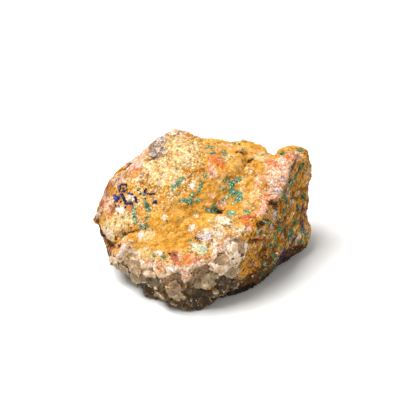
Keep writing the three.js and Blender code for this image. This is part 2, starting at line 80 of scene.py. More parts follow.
# Stains of the crust: a, b, half width, half height, strength and, where turned, degrees
PATCHES = {
    "granular": [
        (9, 13, 6, 4, 0.85, 20), (13, 7, 5, 4, 0.8), (7, 3.6, 4, 2, 0.7), (26, 17, 5, 4, 0.7),
        (-9, 20, 10, 9, 1, 20), (-10, 12, 8, 5, 1), (-17, 11, 4, 4, 0.8), (-27, -3, 5.5, 5.5, 1),
        (-23, -1, 4, 4, 0.9), (5, -3, 6, 3, 1), (13, -3.5, 5, 3, 0.9), (-1, -8, 4, 4, 0.8),
        (-13, -13.5, 6, 3, 1, -15), (24, 12, 5, 9, 0.9, -15), (15, 17, 4, 5, 0.7, -20), (14, 9, 4, 5, 0.6),
        (-24, 9, 6, 6, 0.7), (-26, 14, 6, 3, 0.6, 40), (18, -12, 8, 7, 0.8), (28, 2, 6, 12, 0.7),
        (2, 20, 6, 5, 0.5), (12, 22, 8, 3, 0.4),
    ],
    "pale": [
        (10.4, 16.6, 3.2, 0.9, 0.65, 35), (12.6, 12.2, 2.6, 0.9, 0.6, 40), (8.2, 10.6, 2.2, 0.8, 0.55, 25),
        (12.4, 8.4, 1.6, 2.4, 0.55, -10), (14.6, 5, 1.2, 2.2, 0.6, -10), (4.6, 11.8, 1.6, 0.7, 0.5),
        (30.6, 4.6, 0.8, 2.6, 0.6, -8), (28.2, -3.6, 0.8, 2.2, 0.6, -15), (24.6, -8.4, 0.9, 2, 0.6, -25),
        (33.2, 11.6, 0.7, 2.6, 0.6), (32.6, 17.4, 0.9, 1.8, 0.6), (20.2, -12.6, 1, 2, 0.55, -20),
        (-9, 21, 9, 7, 0.64, 25), (-11, 14, 7, 4, 0.7), (-27.5, -3.5, 5, 4.5, 0.8, 20),
        (-17, 16, 3, 4, 0.6, 30), (-18, -11, 4, 2.5, 0.6), (-17, -4.8, 2.4, 2, 0.8),
        (-23.6, -10.6, 1.6, 2.4, 0.7, -25), (18, 20.5, 4, 2, 0.8, -20), (7, 19.5, 4, 1.6, 0.65, 10),
        (-3, 24, 3, 2, 0.5), (6, -1.2, 4, 1.8, 0.64, 5), (7.5, -5.2, 2.6, 1.3, 0.62),
        (4, -7.4, 1.5, 1.3, 0.66), (-1.5, -9.8, 2.4, 1.1, 0.7), (2, -3.6, 2.6, 1, 0.6, 15),
        (14, -3.4, 3, 1.6, 0.62), (9, -5, 4, 1.8, 0.36), (17, 8.6, 2, 4, 0.6, -20), (15, 16, 3, 3, 0.4),
        (16, -10.5, 2.4, 2.2, 0.5), (-24.5, -0.5, 5, 4, 0.6), (-22, 11, 3, 4, 0.5, 30),
        (-28, 12, 2, 4, 0.5, 30), (-19, 7, 3, 3, 0.4), (11, 22.6, 2.6, 0.9, 0.6, -10),
        (6.4, 24.2, 1.6, 0.8, 0.6), (14.4, 23, 1.6, 0.8, 0.5), (17, 14, 1.4, 3, 0.5),
        (16.6, -9.6, 2.4, 2.6, 0.75), (19.6, -4.4, 1, 2, 0.7), (30.8, -2.4, 1.4, 3.2, 0.5),
        (17, -14, 2, 1.4, 0.4), (-1, 12, 2, 4, 0.4), (8, 11, 4, 2, 0.3), (-6, 6, 4, 3, 0.3, 20),
        (26, 16, 3, 4, 0.7, -20),
    ],
    "orange": [
        (33, 12.2, 1.2, 2.6, 0.8), (32.8, 17.8, 0.8, 1.6, 0.6), (12, 22.6, 6.5, 2.4, 1, -6),
        (3, 24.6, 4, 1.2, 0.8), (18, 22.8, 2.6, 1.2, 0.9, -15), (8, 15.6, 3.2, 2, 0.9, 10),
        (10, 18, 3.4, 1.6, 0.6, 25), (-12.5, -16.2, 2.2, 1.6, 0.8), (0, -0.9, 4.4, 1, 0.7, 6),
        (4, 1, 3, 0.7, 0.7, 12), (-13, 1.5, 3, 1.6, 0.45, 15), (29, 23.1, 3.4, 0.7, 0.8, 4),
        (14, -1.6, 3.4, 0.9, 0.7, 8), (3.6, -11.2, 1.2, 1.4, 0.8, -30), (8, -4.2, 3, 1.4, 0.6),
        (-27, -7, 1.6, 1.6, 0.9), (-22.6, -4.6, 2.6, 1.1, 0.6), (-5, -2, 2.4, 2.6, 0.4, 30),
        (13, 3, 3, 1.5, 0.4), (31.5, 14, 1.4, 4, 0.4), (18.6, -15.8, 2.6, 1.4, 0.35),
    ],
    "brick": [
        (4.2, 19.2, 2.2, 1.4, 1, 5), (6, 17.2, 1.5, 1.3, 0.9), (-5, -12.4, 1.8, 0.6, 0.85, -15),
        (-8.2, -13.4, 1.4, 0.6, 0.9), (-4.4, -11.2, 0.9, 0.5, 0.7), (27.5, 19.7, 1.3, 0.9, 0.95, -20),
        (28.4, 21, 1.2, 0.4, 0.5), (23.6, 16.6, 0.4, 1.1, 1), (21.8, 18.2, 1.8, 1.1, 0.8),
        (20.8, 7.6, 1.6, 0.7, 0.85, 15), (20.4, 6.2, 0.6, 0.9, 0.6), (22.4, 7.4, 0.9, 0.4, 0.7, 30),
        (14.4, 0.4, 2.8, 0.9, 1, 10), (14.6, -1.6, 1.8, 0.8, 0.9), (14, 3.4, 1.4, 0.5, 0.6),
        (17.6, 2, 0.8, 0.7, 0.5), (19.2, 3.4, 0.8, 0.8, 0.5), (14.5, -17, 1, 0.7, 0.5),
        (20.2, 10.6, 0.7, 0.6, 0.9), (17.8, 10.4, 0.9, 0.6, 0.7), (15.6, 12, 1.2, 0.5, 0.6, 20),
        (21.6, 5.6, 1.3, 0.5, 0.8, 30), (22.6, 13.8, 1.3, 0.5, 0.7, 50), (24.6, 9.8, 0.8, 0.5, 0.7, 40),
        (19.6, 1.8, 0.5, 0.9, 0.75), (25.4, 17.2, 1, 0.5, 0.7, 45), (18.4, 6, 0.5, 1.2, 0.6, -10),
        (-20.6, 15.6, 2.2, 0.7, 0.75, 8), (-21.8, 13.6, 1, 0.6, 0.6), (-30.4, 5, 0.8, 1.4, 0.6),
        (-29.5, 1.5, 0.9, 0.7, 0.85), (-4.8, 26.8, 1.2, 0.6, 0.8), (-22.9, 3.4, 0.8, 0.8, 0.8),
        (-6.4, -14.2, 2.2, 0.8, 0.95, -5), (-3.4, -13.4, 1.6, 0.8, 0.7), (5.6, 24.4, 0.9, 0.6, 0.6),
        (2.6, 15.6, 0.7, 1.8, 0.55, 20), (17.6, -6, 0.8, 1.6, 0.6, 10), (-17.7, 21.4, 0.7, 1.4, 0.6, 20),
        (15.2, -0.1, 2.4, 0.4, 0.8, 12), (13.4, -1.2, 1.2, 0.4, 0.6, -10), (-1, -12.6, 1.8, 0.8, 0.7),
        (14.8, -15, 1.2, 0.7, 0.6), (-11, -9, 1.6, 0.6, 0.4, 25), (5, -8.6, 0.4, 1, 0.8, -10),
        (24.8, 21.6, 0.9, 0.5, 0.6, 30), (-5.6, -8, 1.2, 0.4, 0.5, 35),
    ],
    "rose": [
        (10.6, 12.4, 1.8, 0.5, 0.6, 40), (13.2, 9.4, 1.4, 0.6, 0.6, 30), (6.6, 14, 1.4, 0.6, 0.6, 20),
        (25.4, 15, 3.4, 5.5, 0.75, -20), (22, 17.8, 2.2, 1.6, 0.8), (22.5, 8, 2.6, 4, 0.65, -15),
        (19.6, 4, 1.8, 3, 0.8), (18.6, 1.6, 2, 1.2, 0.7, 15), (28.8, 20.2, 3.4, 1.6, 0.75),
        (3.4, 14.8, 1.4, 2.6, 0.75, 15), (2.4, 17.6, 0.8, 1.6, 0.6, 20), (-21.5, 17.6, 4, 3, 0.75, 40),
        (-26, 13, 4, 1.6, 0.55, 40), (-29.8, 5, 1.8, 2.6, 0.65), (-15, -14.5, 5, 1.6, 0.6, -20),
        (-7.6, -12, 2.4, 2, 0.65), (6.2, 5, 1.7, 1.8, 0.7, 20), (3, 7.2, 1.3, 1, 0.75),
        (-9.8, -15.2, 2.8, 1.4, 0.65), (-0.6, -12.8, 3.4, 1.1, 0.7), (-17.8, 22.6, 1.8, 1.6, 0.7),
        (6.8, -5.6, 2.4, 1.2, 0.65), (5.4, -8.6, 1.2, 1.4, 0.7), (1.8, 4.8, 0.9, 0.6, 0.7, -20),
        (-3.6, -11.4, 1.2, 0.7, 0.7), (14.5, -3, 2.4, 1, 0.5), (5.2, -9.6, 0.8, 1.6, 0.7, -20),
        (-5, -16.6, 1.2, 1.6, 0.7), (17.6, 11.6, 1.4, 2.4, 0.6, -15), (-12.4, 13.4, 1.8, 1.4, 0.5),
        (20.6, 13.6, 2, 2.2, 0.6, -20), (-31.4, 4.6, 1.5, 2.8, 0.8, 10), (-25, -9.8, 1.2, 3, 0.8, -25),
        (8.4, 23.4, 2.2, 0.7, 0.55), (15.2, 21.6, 1.6, 0.7, 0.55, -20), (-23.2, -8.6, 0.6, 1.8, 0.5, -30),
        (-31.4, 8.2, 1, 1.6, 0.6, 15), (12.4, 21.6, 1.6, 0.6, 0.5), (20.6, -7.4, 1.6, 0.7, 0.5),
        (17.6, -6, 0.7, 1.4, 0.7, 8), (23.4, -0.6, 0.7, 1, 0.5), (33.4, -3, 0.8, 1.6, 0.6),
        (28.6, -12.2, 2.2, 0.6, 0.5, 30), (9.4, 8, 1.2, 0.8, 0.35), (26.2, 11.8, 1.2, 1.2, 0.8),
        (7.2, -8.6, 1.2, 1, 0.6),
    ],
    "maroon": [
        (-30.6, 9.8, 0.9, 2.6, 0.9), (-28.6, 2.8, 1, 1.4, 0.9, 25), (-19, 12, 1.3, 0.7, 0.9, 20),
        (-8.6, -11.8, 1.6, 1.8, 0.85), (6.2, 5.6, 1.1, 1.2, 0.7), (11.6, 21.2, 2, 0.5, 0.9, -5),
        (-2, -5.9, 0.5, 0.9, 0.6), (-1, -4.2, 1.2, 0.6, 0.7), (-3.3, -2.8, 0.8, 0.8, 0.6),
        (4.6, -3.4, 0.7, 0.7, 0.7), (5.4, -2.2, 0.6, 0.6, 0.6), (3.5, -6.6, 0.5, 0.5, 0.7),
        (7.2, 2.8, 0.6, 0.5, 0.7), (5, -9.4, 0.5, 1, 0.5), (-31.6, -5.6, 0.9, 2.2, 0.8, 25),
        (-35, -0.3, 1, 0.9, 0.9), (-33, 6.4, 0.9, 3.4, 0.95, 16), (-29.9, 12.2, 0.9, 2.6, 0.9, 38),
        (-34.2, 1.6, 0.7, 2, 0.85, 8), (-29.2, -9.4, 0.8, 1.4, 0.8), (24, -13, 2.4, 1.2, 0.4, 40),
        (21, 7.6, 2.4, 0.7, 0.6, 20), (22.4, 4.6, 1.6, 1.2, 0.55), (-7.8, -18.4, 1.8, 1, 0.8),
        (-17.4, 14.6, 0.7, 1.8, 0.6, 15), (9.4, 13.2, 1.6, 0.7, 0.5), (17, 0.4, 1.6, 0.7, 0.6, 20),
        (-3, -10.6, 1.4, 0.7, 0.5), (0.4, 15.4, 0.9, 1.2, 0.5), (25.4, 12.8, 1.4, 1.2, 0.5),
    ],
    "brown": [
        (32, 12, 3.4, 8, 0.56, -3), (29.5, 3, 6.6, 9, 1, -10), (26, -8, 9.5, 8, 1, 15),
        (19, -15, 8, 6.5, 0.95), (18.4, -4, 4, 5, 0.85), (-25, 8, 5, 5, 0.55, 30),
        (-30.6, 11, 1.6, 6, 0.9, 28), (-33.2, 3.5, 1.6, 4.8, 0.9, 12), (-26.5, 16, 4, 1, 0.75, 42),
        (-24, -4, 4, 1.3, 0.55, 10), (-22, -2.6, 4, 1, 0.5, -15), (0, 15.8, 3.6, 0.8, 0.6, 20),
        (-4.8, 3.2, 1.9, 1.2, 0.6, -20), (15.4, -6.2, 2.2, 1.6, 0.9), (17, 15, 1.6, 4, 0.5, -8),
        (-6.5, -0.2, 3, 0.8, 0.3, 15), (12, -12, 3, 3, 0.3), (16, -8.6, 1.6, 3, 0.5),
        (33.4, 20.6, 1, 2, 0.7), (-4.5, 15.4, 1.3, 1, 0.7), (29.4, 17.4, 1, 3, 0.8, -25),
        (-23.5, -6, 2, 0.8, 0.4, 20),
    ],
    # Dark brown spots, and painted shade along cracks, in the hole near 6, 2 and in a band along the bottom
    # edge
    "umber": [
        (0.2, -4.6, 0.9, 0.5, 0.85), (-1.3, -6.6, 0.5, 0.8, 0.85), (5.3, -3.6, 0.4, 0.4, 0.8),
        (29.2, 16.9, 0.4, 2, 0.55, -25), (28, 12.8, 0.4, 1.8, 0.6, -15), (26.6, 9, 0.4, 1.6, 0.6, -20),
        (24.4, 5.8, 1.2, 0.5, 0.6, 40), (20.6, 2.6, 0.5, 1.2, 0.6, -10), (-24.5, 16.5, 1.2, 0.4, 0.85, 42),
        (-23.2, 17.5, 0.9, 0.5, 0.85, 42), (-33.6, -0.6, 0.8, 1, 0.9), (-32.7, -3.8, 0.6, 2.6, 0.9, 25),
        (19, -1.2, 2.2, 0.8, 0.9, 20), (18, -2.3, 1, 0.8, 0.8, 10), (18.6, -3.7, 1, 0.8, 0.6),
        (20.6, -2.3, 1.2, 0.6, 0.6, 10), (25, -1.2, 1.4, 0.6, 0.85), (33, 9.9, 1.6, 0.5, 0.75, -15),
        (22.4, 5, 1.6, 0.8, 0.95, -20), (23.2, 3.6, 0.9, 0.7, 0.8), (-29.6, -8.2, 1.8, 0.7, 0.8, -30),
        (-30.6, -10, 0.7, 1.4, 0.8), (29.8, 17.6, 0.4, 1.4, 0.5, -30), (17.6, -6.8, 1.2, 0.6, 0.7),
        (22, -12.5, 1.8, 5, 0.6, -20), (22, -17.4, 10, 2.2, 1, 27), (11, -22.8, 7, 1.5, 1, 12),
        (30, -10.2, 5, 1.6, 0.85, 22), (28, 15.2, 0.7, 0.5, 0.45), (-29.3, -11.6, 0.5, 1.2, 0.9),
        (-16.5, 19.4, 1.6, 0.7, 0.6, 15), (6, 2, 0.6, 0.6, 1), (15.6, 19, 1.3, 0.5, 0.85, 30),
        (13.2, 20.9, 1.1, 0.5, 0.8, -10), (28.8, 12.6, 0.5, 0.7, 0.45), (30.4, 6.6, 1.4, 1.2, 0.6),
        (26.6, 0.6, 0.8, 0.8, 0.7), (23.4, -2.6, 1, 1.2, 0.6), (20, -9, 2, 2, 0.5), (27, -5, 2, 3, 0.55),
        (15, -20.6, 4, 1, 0.8, 12), (-25, -4.5, 1, 0.5, 0.7), (-27.4, -6.2, 0.4, 1.2, 0.8, 10),
        (-26, -7.6, 0.5, 0.5, 0.8, 30), (-24.6, -5.3, 1.6, 0.4, 0.9, 20), (-22.4, -3.9, 1.6, 0.3, 0.8, 10),
        (-26.4, -8.8, 0.5, 1, 0.7, -20), (17.6, -16.6, 3.4, 1.2, 0.75, 25), (14.4, -19.2, 3, 1.2, 0.85, 15),
        (20.8, -13.6, 1.6, 2.4, 0.62, -20), (15.6, -14, 1.4, 1.8, 0.5), (-21.6, -1.8, 2.4, 0.4, 0.6, -10),
        (18.6, -12, 1.2, 2, 0.4), (-2, -5.9, 0.35, 0.7, 0.8), (-1, -4, 0.5, 0.3, 0.7),
        (-0.5, -7.6, 0.7, 0.5, 0.5), (26, -12.2, 2.2, 1.4, 0.7, 45), (24.2, -3.4, 0.8, 1.2, 0.6),
        (23.8, -6.2, 1, 1.6, 0.45), (3.5, -6.6, 0.5, 0.4, 0.9), (4.6, -3.3, 0.8, 0.5, 0.8),
        (1.8, -5, 0.4, 0.4, 0.9), (2.7, -2.5, 0.4, 0.3, 0.8), (9, -7.6, 0.5, 0.4, 0.9),
        (-4.2, -5.5, 0.4, 0.3, 0.7), (15.8, -6.8, 1.4, 1, 0.6), (14.6, -5.4, 1.4, 0.5, 0.5),
        (7.1, 2.7, 0.5, 0.5, 0.6), (24.6, 12.8, 0.4, 0.4, 0.7), (20.2, -0.6, 1, 0.8, 0.8),
    ],
    "white": [
        (7.4, 11.6, 0.5, 0.4, 0.8), (10.8, 14.8, 0.6, 0.3, 0.8, 40), (9, 17.6, 0.6, 0.3, 0.7, 20),
        (13.4, 10.4, 0.5, 0.4, 0.7), (16.2, 7.2, 0.4, 0.7, 0.7), (12.8, 5.6, 0.5, 0.4, 0.7),
        (26, -5.4, 0.4, 0.4, 0.9), (29.4, 1.8, 0.4, 0.5, 0.9), (31, 8.6, 0.3, 0.6, 0.8),
        (23.6, -10.8, 0.4, 0.4, 0.9), (18.6, -14.6, 0.4, 0.3, 0.9), (27.2, 4.4, 0.4, 0.4, 0.8),
        (-2.9, 10.6, 0.9, 1.5, 0.85, -15), (-12, 1, 0.8, 0.8, 0.85), (-13.6, -10.6, 1.1, 0.7, 0.8),
        (-26, 3.1, 1.7, 1.1, 0.85, -20), (-22.8, 6.6, 1.3, 1, 0.75), (-19.6, -5.2, 1, 1.6, 0.7, -20),
        (-9.9, 8.2, 0.7, 0.6, 0.9), (-9.4, 5.9, 0.4, 0.7, 0.85), (-20.3, 4.9, 0.4, 0.5, 0.9),
        (-19.3, -1.1, 0.3, 1.4, 0.9, 30), (-14.6, -12.8, 2, 0.7, 0.6), (-30, -4.8, 1.2, 2, 0.55, 15),
        (-3.2, -2.6, 0.9, 0.8, 0.8), (6.2, 0.3, 1.6, 0.5, 0.9, 10), (7.9, -0.9, 1.1, 0.8, 0.85),
        (2.6, -0.5, 0.7, 0.4, 0.7), (0.6, -4.6, 3, 1.4, 0.55, 10), (5, -5.2, 1.6, 3, 0.42),
        (9.6, -3.4, 3.4, 1.4, 0.3, 5), (6.4, -1.6, 2.2, 0.7, 0.4), (7.6, -7.2, 2, 1, 0.35),
        (3.6, -4.2, 0.8, 0.9, 0.7), (6.6, -3.2, 0.6, 0.5, 0.7), (3.3, -9.1, 1.7, 0.4, 0.95, 28),
        (4.2, -7.4, 0.8, 0.7, 0.8), (-3, -3.7, 0.5, 0.3, 0.9), (-2.8, -2.2, 0.6, 0.3, 0.9),
        (22.6, 15, 1.4, 1, 0.6, -10), (25.2, 18.4, 1.8, 1.2, 0.5, -25), (31.2, 20.9, 1, 0.35, 1, 25),
        (21.8, 12.4, 1.1, 1.2, 0.5), (20.4, 9.6, 1.2, 0.7, 0.5), (-24.6, 12.2, 0.8, 0.5, 0.8),
        (19, 13.4, 0.7, 0.6, 0.7, 30), (27.4, 14.4, 0.5, 1.4, 0.6, -10), (-20.8, 12.8, 0.7, 0.5, 0.8),
        (18.8, -7.9, 0.7, 0.35, 1), (31.2, -5.9, 0.9, 0.7, 0.8), (19.8, -0.9, 0.4, 0.4, 1),
        (-9.4, -15.6, 2.4, 0.8, 0.7), (-18.2, -17.6, 1.8, 0.6, 0.7, -20), (14.6, -3.4, 1.4, 0.5, 0.6),
        (10.6, -2.2, 1.2, 0.5, 0.5), (-25.2, -9.6, 0.6, 2.6, 0.9, -25), (8.8, 22.6, 0.8, 0.4, 0.7),
        (5.6, 22.2, 0.7, 0.4, 0.7), (13.6, 22.8, 0.6, 0.4, 0.6), (11.4, 24.2, 0.6, 0.3, 0.6),
        (2, 21.6, 0.7, 0.4, 0.5), (16.6, 21.2, 0.6, 0.4, 0.6), (-22.8, -6.9, 1.6, 0.5, 0.6, 20),
        (12.4, -2.8, 1.8, 0.5, 0.6, 20), (-2, 0.7, 0.6, 0.4, 0.9), (-11.4, 13.8, 1.2, 0.8, 0.55),
        (-8.8, 16.2, 0.7, 0.5, 0.5), (29.6, 7.4, 0.4, 0.4, 0.7), (-17, 16.6, 0.5, 0.5, 0.8),
        (1.9, 23.6, 1, 0.3, 0.6), (3.4, -15.9, 0.6, 0.5, 0.6), (-19.6, 23.3, 1, 0.7, 0.3),
        (18.6, 1.6, 1.6, 0.7, 0.5, 20), (-12.4, 27, 1.4, 0.8, 0.4, 30), (16.9, -8.9, 0.5, 0.4, 0.9),
        (14.2, -7.8, 0.4, 0.5, 0.7), (19.6, -5, 0.4, 0.4, 1), (16.2, -18.5, 0.4, 0.4, 0.9),
        (31.8, -5.6, 1, 0.7, 0.9), (30.6, -6.4, 0.5, 0.8, 0.8), (21.4, -4.6, 0.5, 0.3, 0.8),
        (17.2, -16.8, 0.5, 0.6, 0.5), (15.4, 15.2, 0.9, 0.7, 0.55), (24, 0.6, 0.4, 1.4, 0.5),
        (22.6, 7, 0.8, 0.6, 0.5, 30),
    ],
    "mint": [
        (-2.8, -7.8, 1.5, 0.8, 0.8, -35), (-0.9, -9.1, 1.6, 0.8, 0.95, -28), (1.1, -9, 0.8, 1.2, 0.85, 10),
        (0.6, -10.4, 0.9, 0.6, 0.6), (5.3, -4.8, 0.7, 1.5, 0.75), (4.6, -2, 1.2, 0.8, 0.4),
        (6, -1.2, 2.4, 0.9, 0.45, 10), (-1.6, -10, 2, 0.7, 0.55, -10), (0.8, -7.2, 1.8, 0.7, 0.4),
        (19.6, -3, 0.7, 0.9, 0.8), (28.6, -4.8, 1.2, 2.2, 0.4), (32.2, -4.8, 1.6, 1.6, 0.45),
        (-24.8, -6.2, 0.9, 0.8, 0.5), (9.2, 1.6, 1.6, 1, 0.6), (-0.4, -11.6, 0.6, 0.5, 0.5),
    ],
    "lilac": [
        (0.8, -5.6, 2.3, 1.2, 1, 10), (2.6, -7, 1.2, 0.8, 0.6), (-3.4, -3, 1, 1, 0.8),
        (14.4, -3.2, 1.4, 0.8, 0.5), (-12.8, 25.6, 1.6, 0.9, 0.85, 30), (-15.8, 20.6, 1.6, 0.8, 0.7, 20),
        (-8.2, 27.8, 2.4, 1.1, 1, 5), (34.2, 15, 0.8, 2.6, 0.45), (-22.2, 17.4, 0.7, 0.5, 0.9),
        (25.6, 12.4, 1.6, 1.2, 0.5), (22.2, 11.2, 0.9, 1, 0.7), (23.4, 9, 0.9, 1.4, 0.7),
        (27.2, 8.4, 0.5, 1.8, 0.6, -5), (34, 12, 0.7, 0.9, 0.6), (-9, 11.4, 0.4, 0.5, 0.7),
        (-5.8, -15.4, 1.4, 1, 0.7), (-19.2, 20.6, 0.7, 0.5, 0.7), (-28.4, 6.4, 0.8, 1.8, 0.4),
        (23.2, 1.6, 0.7, 1.8, 0.8), (28.8, 5.2, 0.6, 0.9, 0.6), (27.6, 0.2, 0.5, 0.8, 0.5),
        (9.2, -2.2, 1, 0.7, 0.6),
    ],
    "ash": [
        (-27.4, 12.8, 2.6, 0.5, 0.7, 45), (-31, 7.6, 0.5, 2.4, 0.7, 18), (-33.4, 2.2, 0.5, 2.2, 0.7, 12),
        (-21.4, 18.2, 1.8, 0.4, 0.6, 40), (-24.6, 14.6, 2, 0.35, 0.6, 42), (-29.4, -1.4, 0.4, 1.6, 0.6, 10),
        (-14.4, 22, 2.8, 3.2, 0.95, 10), (-19, 14, 1, 1.2, 0.9), (-12.6, 24.6, 2, 1.4, 0.7),
        (-11.6, 21.8, 1.2, 2, 0.5), (24, 9.4, 1.4, 1.6, 0.6), (23.2, 1.2, 1, 2.4, 0.7),
        (34, 9.4, 1.2, 3.2, 0.3), (-12.2, 3, 1, 0.6, 0.5), (-6.4, 1.4, 0.7, 0.5, 0.5),
        (-33, 1.8, 0.9, 2.6, 0.6), (26.6, 9.8, 0.9, 2.4, 0.5, -10), (-18, -8.4, 0.7, 0.6, 0.6),
        (22, -2.6, 0.8, 1.8, 0.75, -15), (21.4, -6.4, 0.8, 0.7, 0.6), (20.6, -8.8, 0.8, 0.6, 0.6, 30),
        (26.6, -2.6, 0.7, 1.4, 0.5), (16, -14, 1.4, 1, 0.5), (5.4, -3.2, 1.2, 2, 0.3),
        (-30, 7.4, 1.2, 1.8, 0.4), (-22, -7.2, 0.9, 0.4, 0.6), (-3.6, 13.8, 1.2, 0.5, 0.5, 35),
    ],
    # Black painted shade: the dark band along the bottom edge, the hole near 6, 2 and lines in the cracks
    "soot": [
        (-31.9, -7, 0.35, 1.4, 0.8, 40), (-33.6, -2.8, 0.3, 1.4, 0.8, 20),
        (-29.4, -8.9, 0.7, 0.35, 0.7, -25), (-29.6, -11, 0.25, 1.2, 0.7), (14, -22, 6, 0.9, 1, 13),
        (22.4, -17.8, 4.4, 0.8, 1, 33), (28.4, -12.6, 3.6, 0.7, 0.9, 22), (6, 2, 0.4, 0.45, 1),
        (19, -1.6, 1.6, 0.6, 0.6, 20), (30.4, -9.4, 1.6, 0.6, 0.6), (8.8, -24.2, 3.2, 0.9, 0.9, 12),
    ],
}

# Sharp cracks and hollows in the crust: path, half width and depth
CREVICES = [
    ([(16.8, 19.6), (15.2, 18.4), (13.8, 17.2), (13, 15.4)], 0.3, 0.5),
    ([(12.2, 21.3), (13.2, 20.9), (14.2, 20.9)], 0.4, 0.8),
    ([(-6, 15.7), (-4.6, 15.3), (-3.8, 15.8)], 0.4, 0.5),
    ([(-4.6, 13), (-3.4, 14.4), (-1.4, 15.6), (1.4, 16.2)], 0.35, 0.5),
    ([(-29, -8.4), (-26.8, -7.2), (-25.2, -4.8), (-23.6, -4.3), (-19.6, -3.6)], 0.4, 0.8),
    ([(-34.2, -1.2), (-32.8, -3.4), (-31.2, -6.2), (-29.4, -7.8), (-27.8, -9)], 0.45, 0.8),
    ([(-24.8, -2.4), (-22.6, -1.6), (-21.4, -1.9), (-20.2, -0.4), (-21, 0.4)], 0.3, 0.35),
    ([(17, -2.2), (18.4, -1), (20.6, -0.6)], 0.6, 0.6), ([(21, 4.6), (22.4, 5.4), (23.8, 4.2)], 0.45, 0.7),
    ([(24.4, -1), (26.2, -1.5)], 0.7, 0.8),
    ([(30.6, 19.8), (29.6, 17.8), (28.6, 16), (27.8, 14.4), (27.2, 12), (26.4, 9.6)], 0.45, 0.45),
    ([(-5.6, 3.4), (-3, 4)], 0.9, 0.4), ([(-5.4, -4.8), (-4.6, -2.4)], 0.4, 0.5),
    ([(8, 13.6), (10.6, 13.2)], 0.5, 0.5), ([(12, 14.9), (14.2, 14.2)], 0.35, 0.6),
    ([(5.3, 2.2), (6.1, 2)], 0.4, 1.2), ([(2, 3.2), (3.2, 2.4)], 0.5, 0.8),
    ([(31, 9.6), (33, 10), (34.6, 10.6)], 0.6, 0.45), ([(16.4, -6.4), (18.2, -7.2)], 0.7, 0.7),
    ([(-24.2, 4.9), (-22.6, 5), (-21.8, 6)], 0.3, 0.5), ([(-19.4, -2), (-18, -4), (-19, -6.4)], 0.3, 0.35),
    ([(-25.2, -12.4), (-23.8, -10.4), (-22.4, -9.4), (-21.2, -9.8)], 0.35, 0.5),
    ([(24.4, -14.2), (27, -10.8), (30.6, -9.4), (33, -9.6)], 0.6, 0.8),
    ([(21.6, -12.8), (22.4, -9.6), (24.4, -6.4)], 0.5, 0.5),
    ([(29.6, 9), (28.4, 5.6), (27.6, 2.2), (26.4, -0.4)], 0.4, 0.5),
    ([(-17.8, 19), (-15.4, 19.6), (-13.6, 20.4)], 0.5, 0.6), ([(-16.4, 22.6), (-14.8, 21.6)], 0.4, 0.5),
    ([(18.6, -13.6), (20.4, -9.6), (22, -5.4)], 0.45, 0.6),
    ([(25.4, -7.4), (26.2, -3.4), (27.4, 0.6)], 0.45, 0.6),
    ([(28.6, -5.4), (29.8, -0.6), (30.6, 4)], 0.4, 0.55), ([(15.6, -12.4), (17, -9)], 0.4, 0.5),
    ([(31.6, -1.4), (32.4, 3.4), (32.6, 7.6)], 0.4, 0.5),
    ([(29.8, 10.4), (30.8, 14.6), (31.6, 18.2)], 0.35, 0.4),
    ([(-32.6, 1.2), (-31.4, 5.6), (-29.4, 9.8), (-26.6, 13.4)], 0.4, 0.5),
    ([(-27.6, 10.4), (-24.6, 13.6), (-21.4, 16.4)], 0.35, 0.4),
]

# Raised rims of the crust: path, half width and height
RIMS = [
    ([(29.8, 20.2), (27.8, 16.7), (26.7, 13.1), (25.3, 9.2), (22.8, 6.8)], 0.8, 0.45),
    ([(-26.4, -12), (-25.7, -9.6), (-24.2, -7.6), (-22.4, -6.5)], 0.6, 0.4),
    ([(2.5, 0.2), (5, 0.9), (8, 0.7), (10.2, 0.3)], 0.6, 0.35),
    ([(-19.6, -3.9), (-20.2, -5.6), (-19.6, -7.4)], 0.6, 0.35),
    ([(0.4, 1.2), (4, 1.1), (7, 1.7)], 0.5, 0.3),
    ([(20.4, 21.8), (18.2, 18), (18, 12), (18.6, 7), (16.8, 2)], 0.9, 0.35),
    ([(9.8, 12), (9.2, 8.6), (12, 8.4), (12.2, 6.4)], 0.9, 0.2),
]

# Smooth tongue of goldenrod crust that fills the valley: centre line and half width
VALLEY = [(17, 17), (12, 11), (6, 8), (0, 3), (-6, -2), (-13, -6), (-19, -8)]
VALLEY_HALF_WIDTH = 6.5
# Lean of the valley's streaks, and of the steeper grain of the brown right-hand face
STREAK = math.radians(37)
GRAIN = math.radians(64)

# Growths of malachite: width and path, from pale to dark
MALACHITE_PALE = [
    (1, [(-20.4, -2.3), (-20.1, -2.2)]), (0.9, [(19.6, -0.9), (20.1, -1.1)]),
    (1, [(3.2, -15.6), (3.5, -16)]), (0.7, [(-9.6, 10), (-9.3, 9.6)]), (0.8, [(8, 12.3), (8.2, 12.2)]),
    (1.6, [(8.6, 1.8), (9.4, 1.6), (10.1, 2.1)]), (0.8, [(13.7, 1.9), (13.9, 1.8)]),
    (0.6, [(9.2, 4.9), (10, 5.1), (10.8, 5.5)]), (0.6, [(4.6, 23.1), (5, 23.1)]),
    (0.7, [(-11.9, -0.5), (-11.7, -0.4)]), (0.8, [(-19.9, 9.9), (-19.6, 9.8)]),
    (0.9, [(33.6, -5.5), (34.6, -6)]), (0.8, [(20.2, -14.2), (19.8, -14.7)]), (0.8, [(6.6, 5.8), (8.2, 7)]),
    (0.9, [(23.9, -11.8), (24.2, -12.4)]),
]
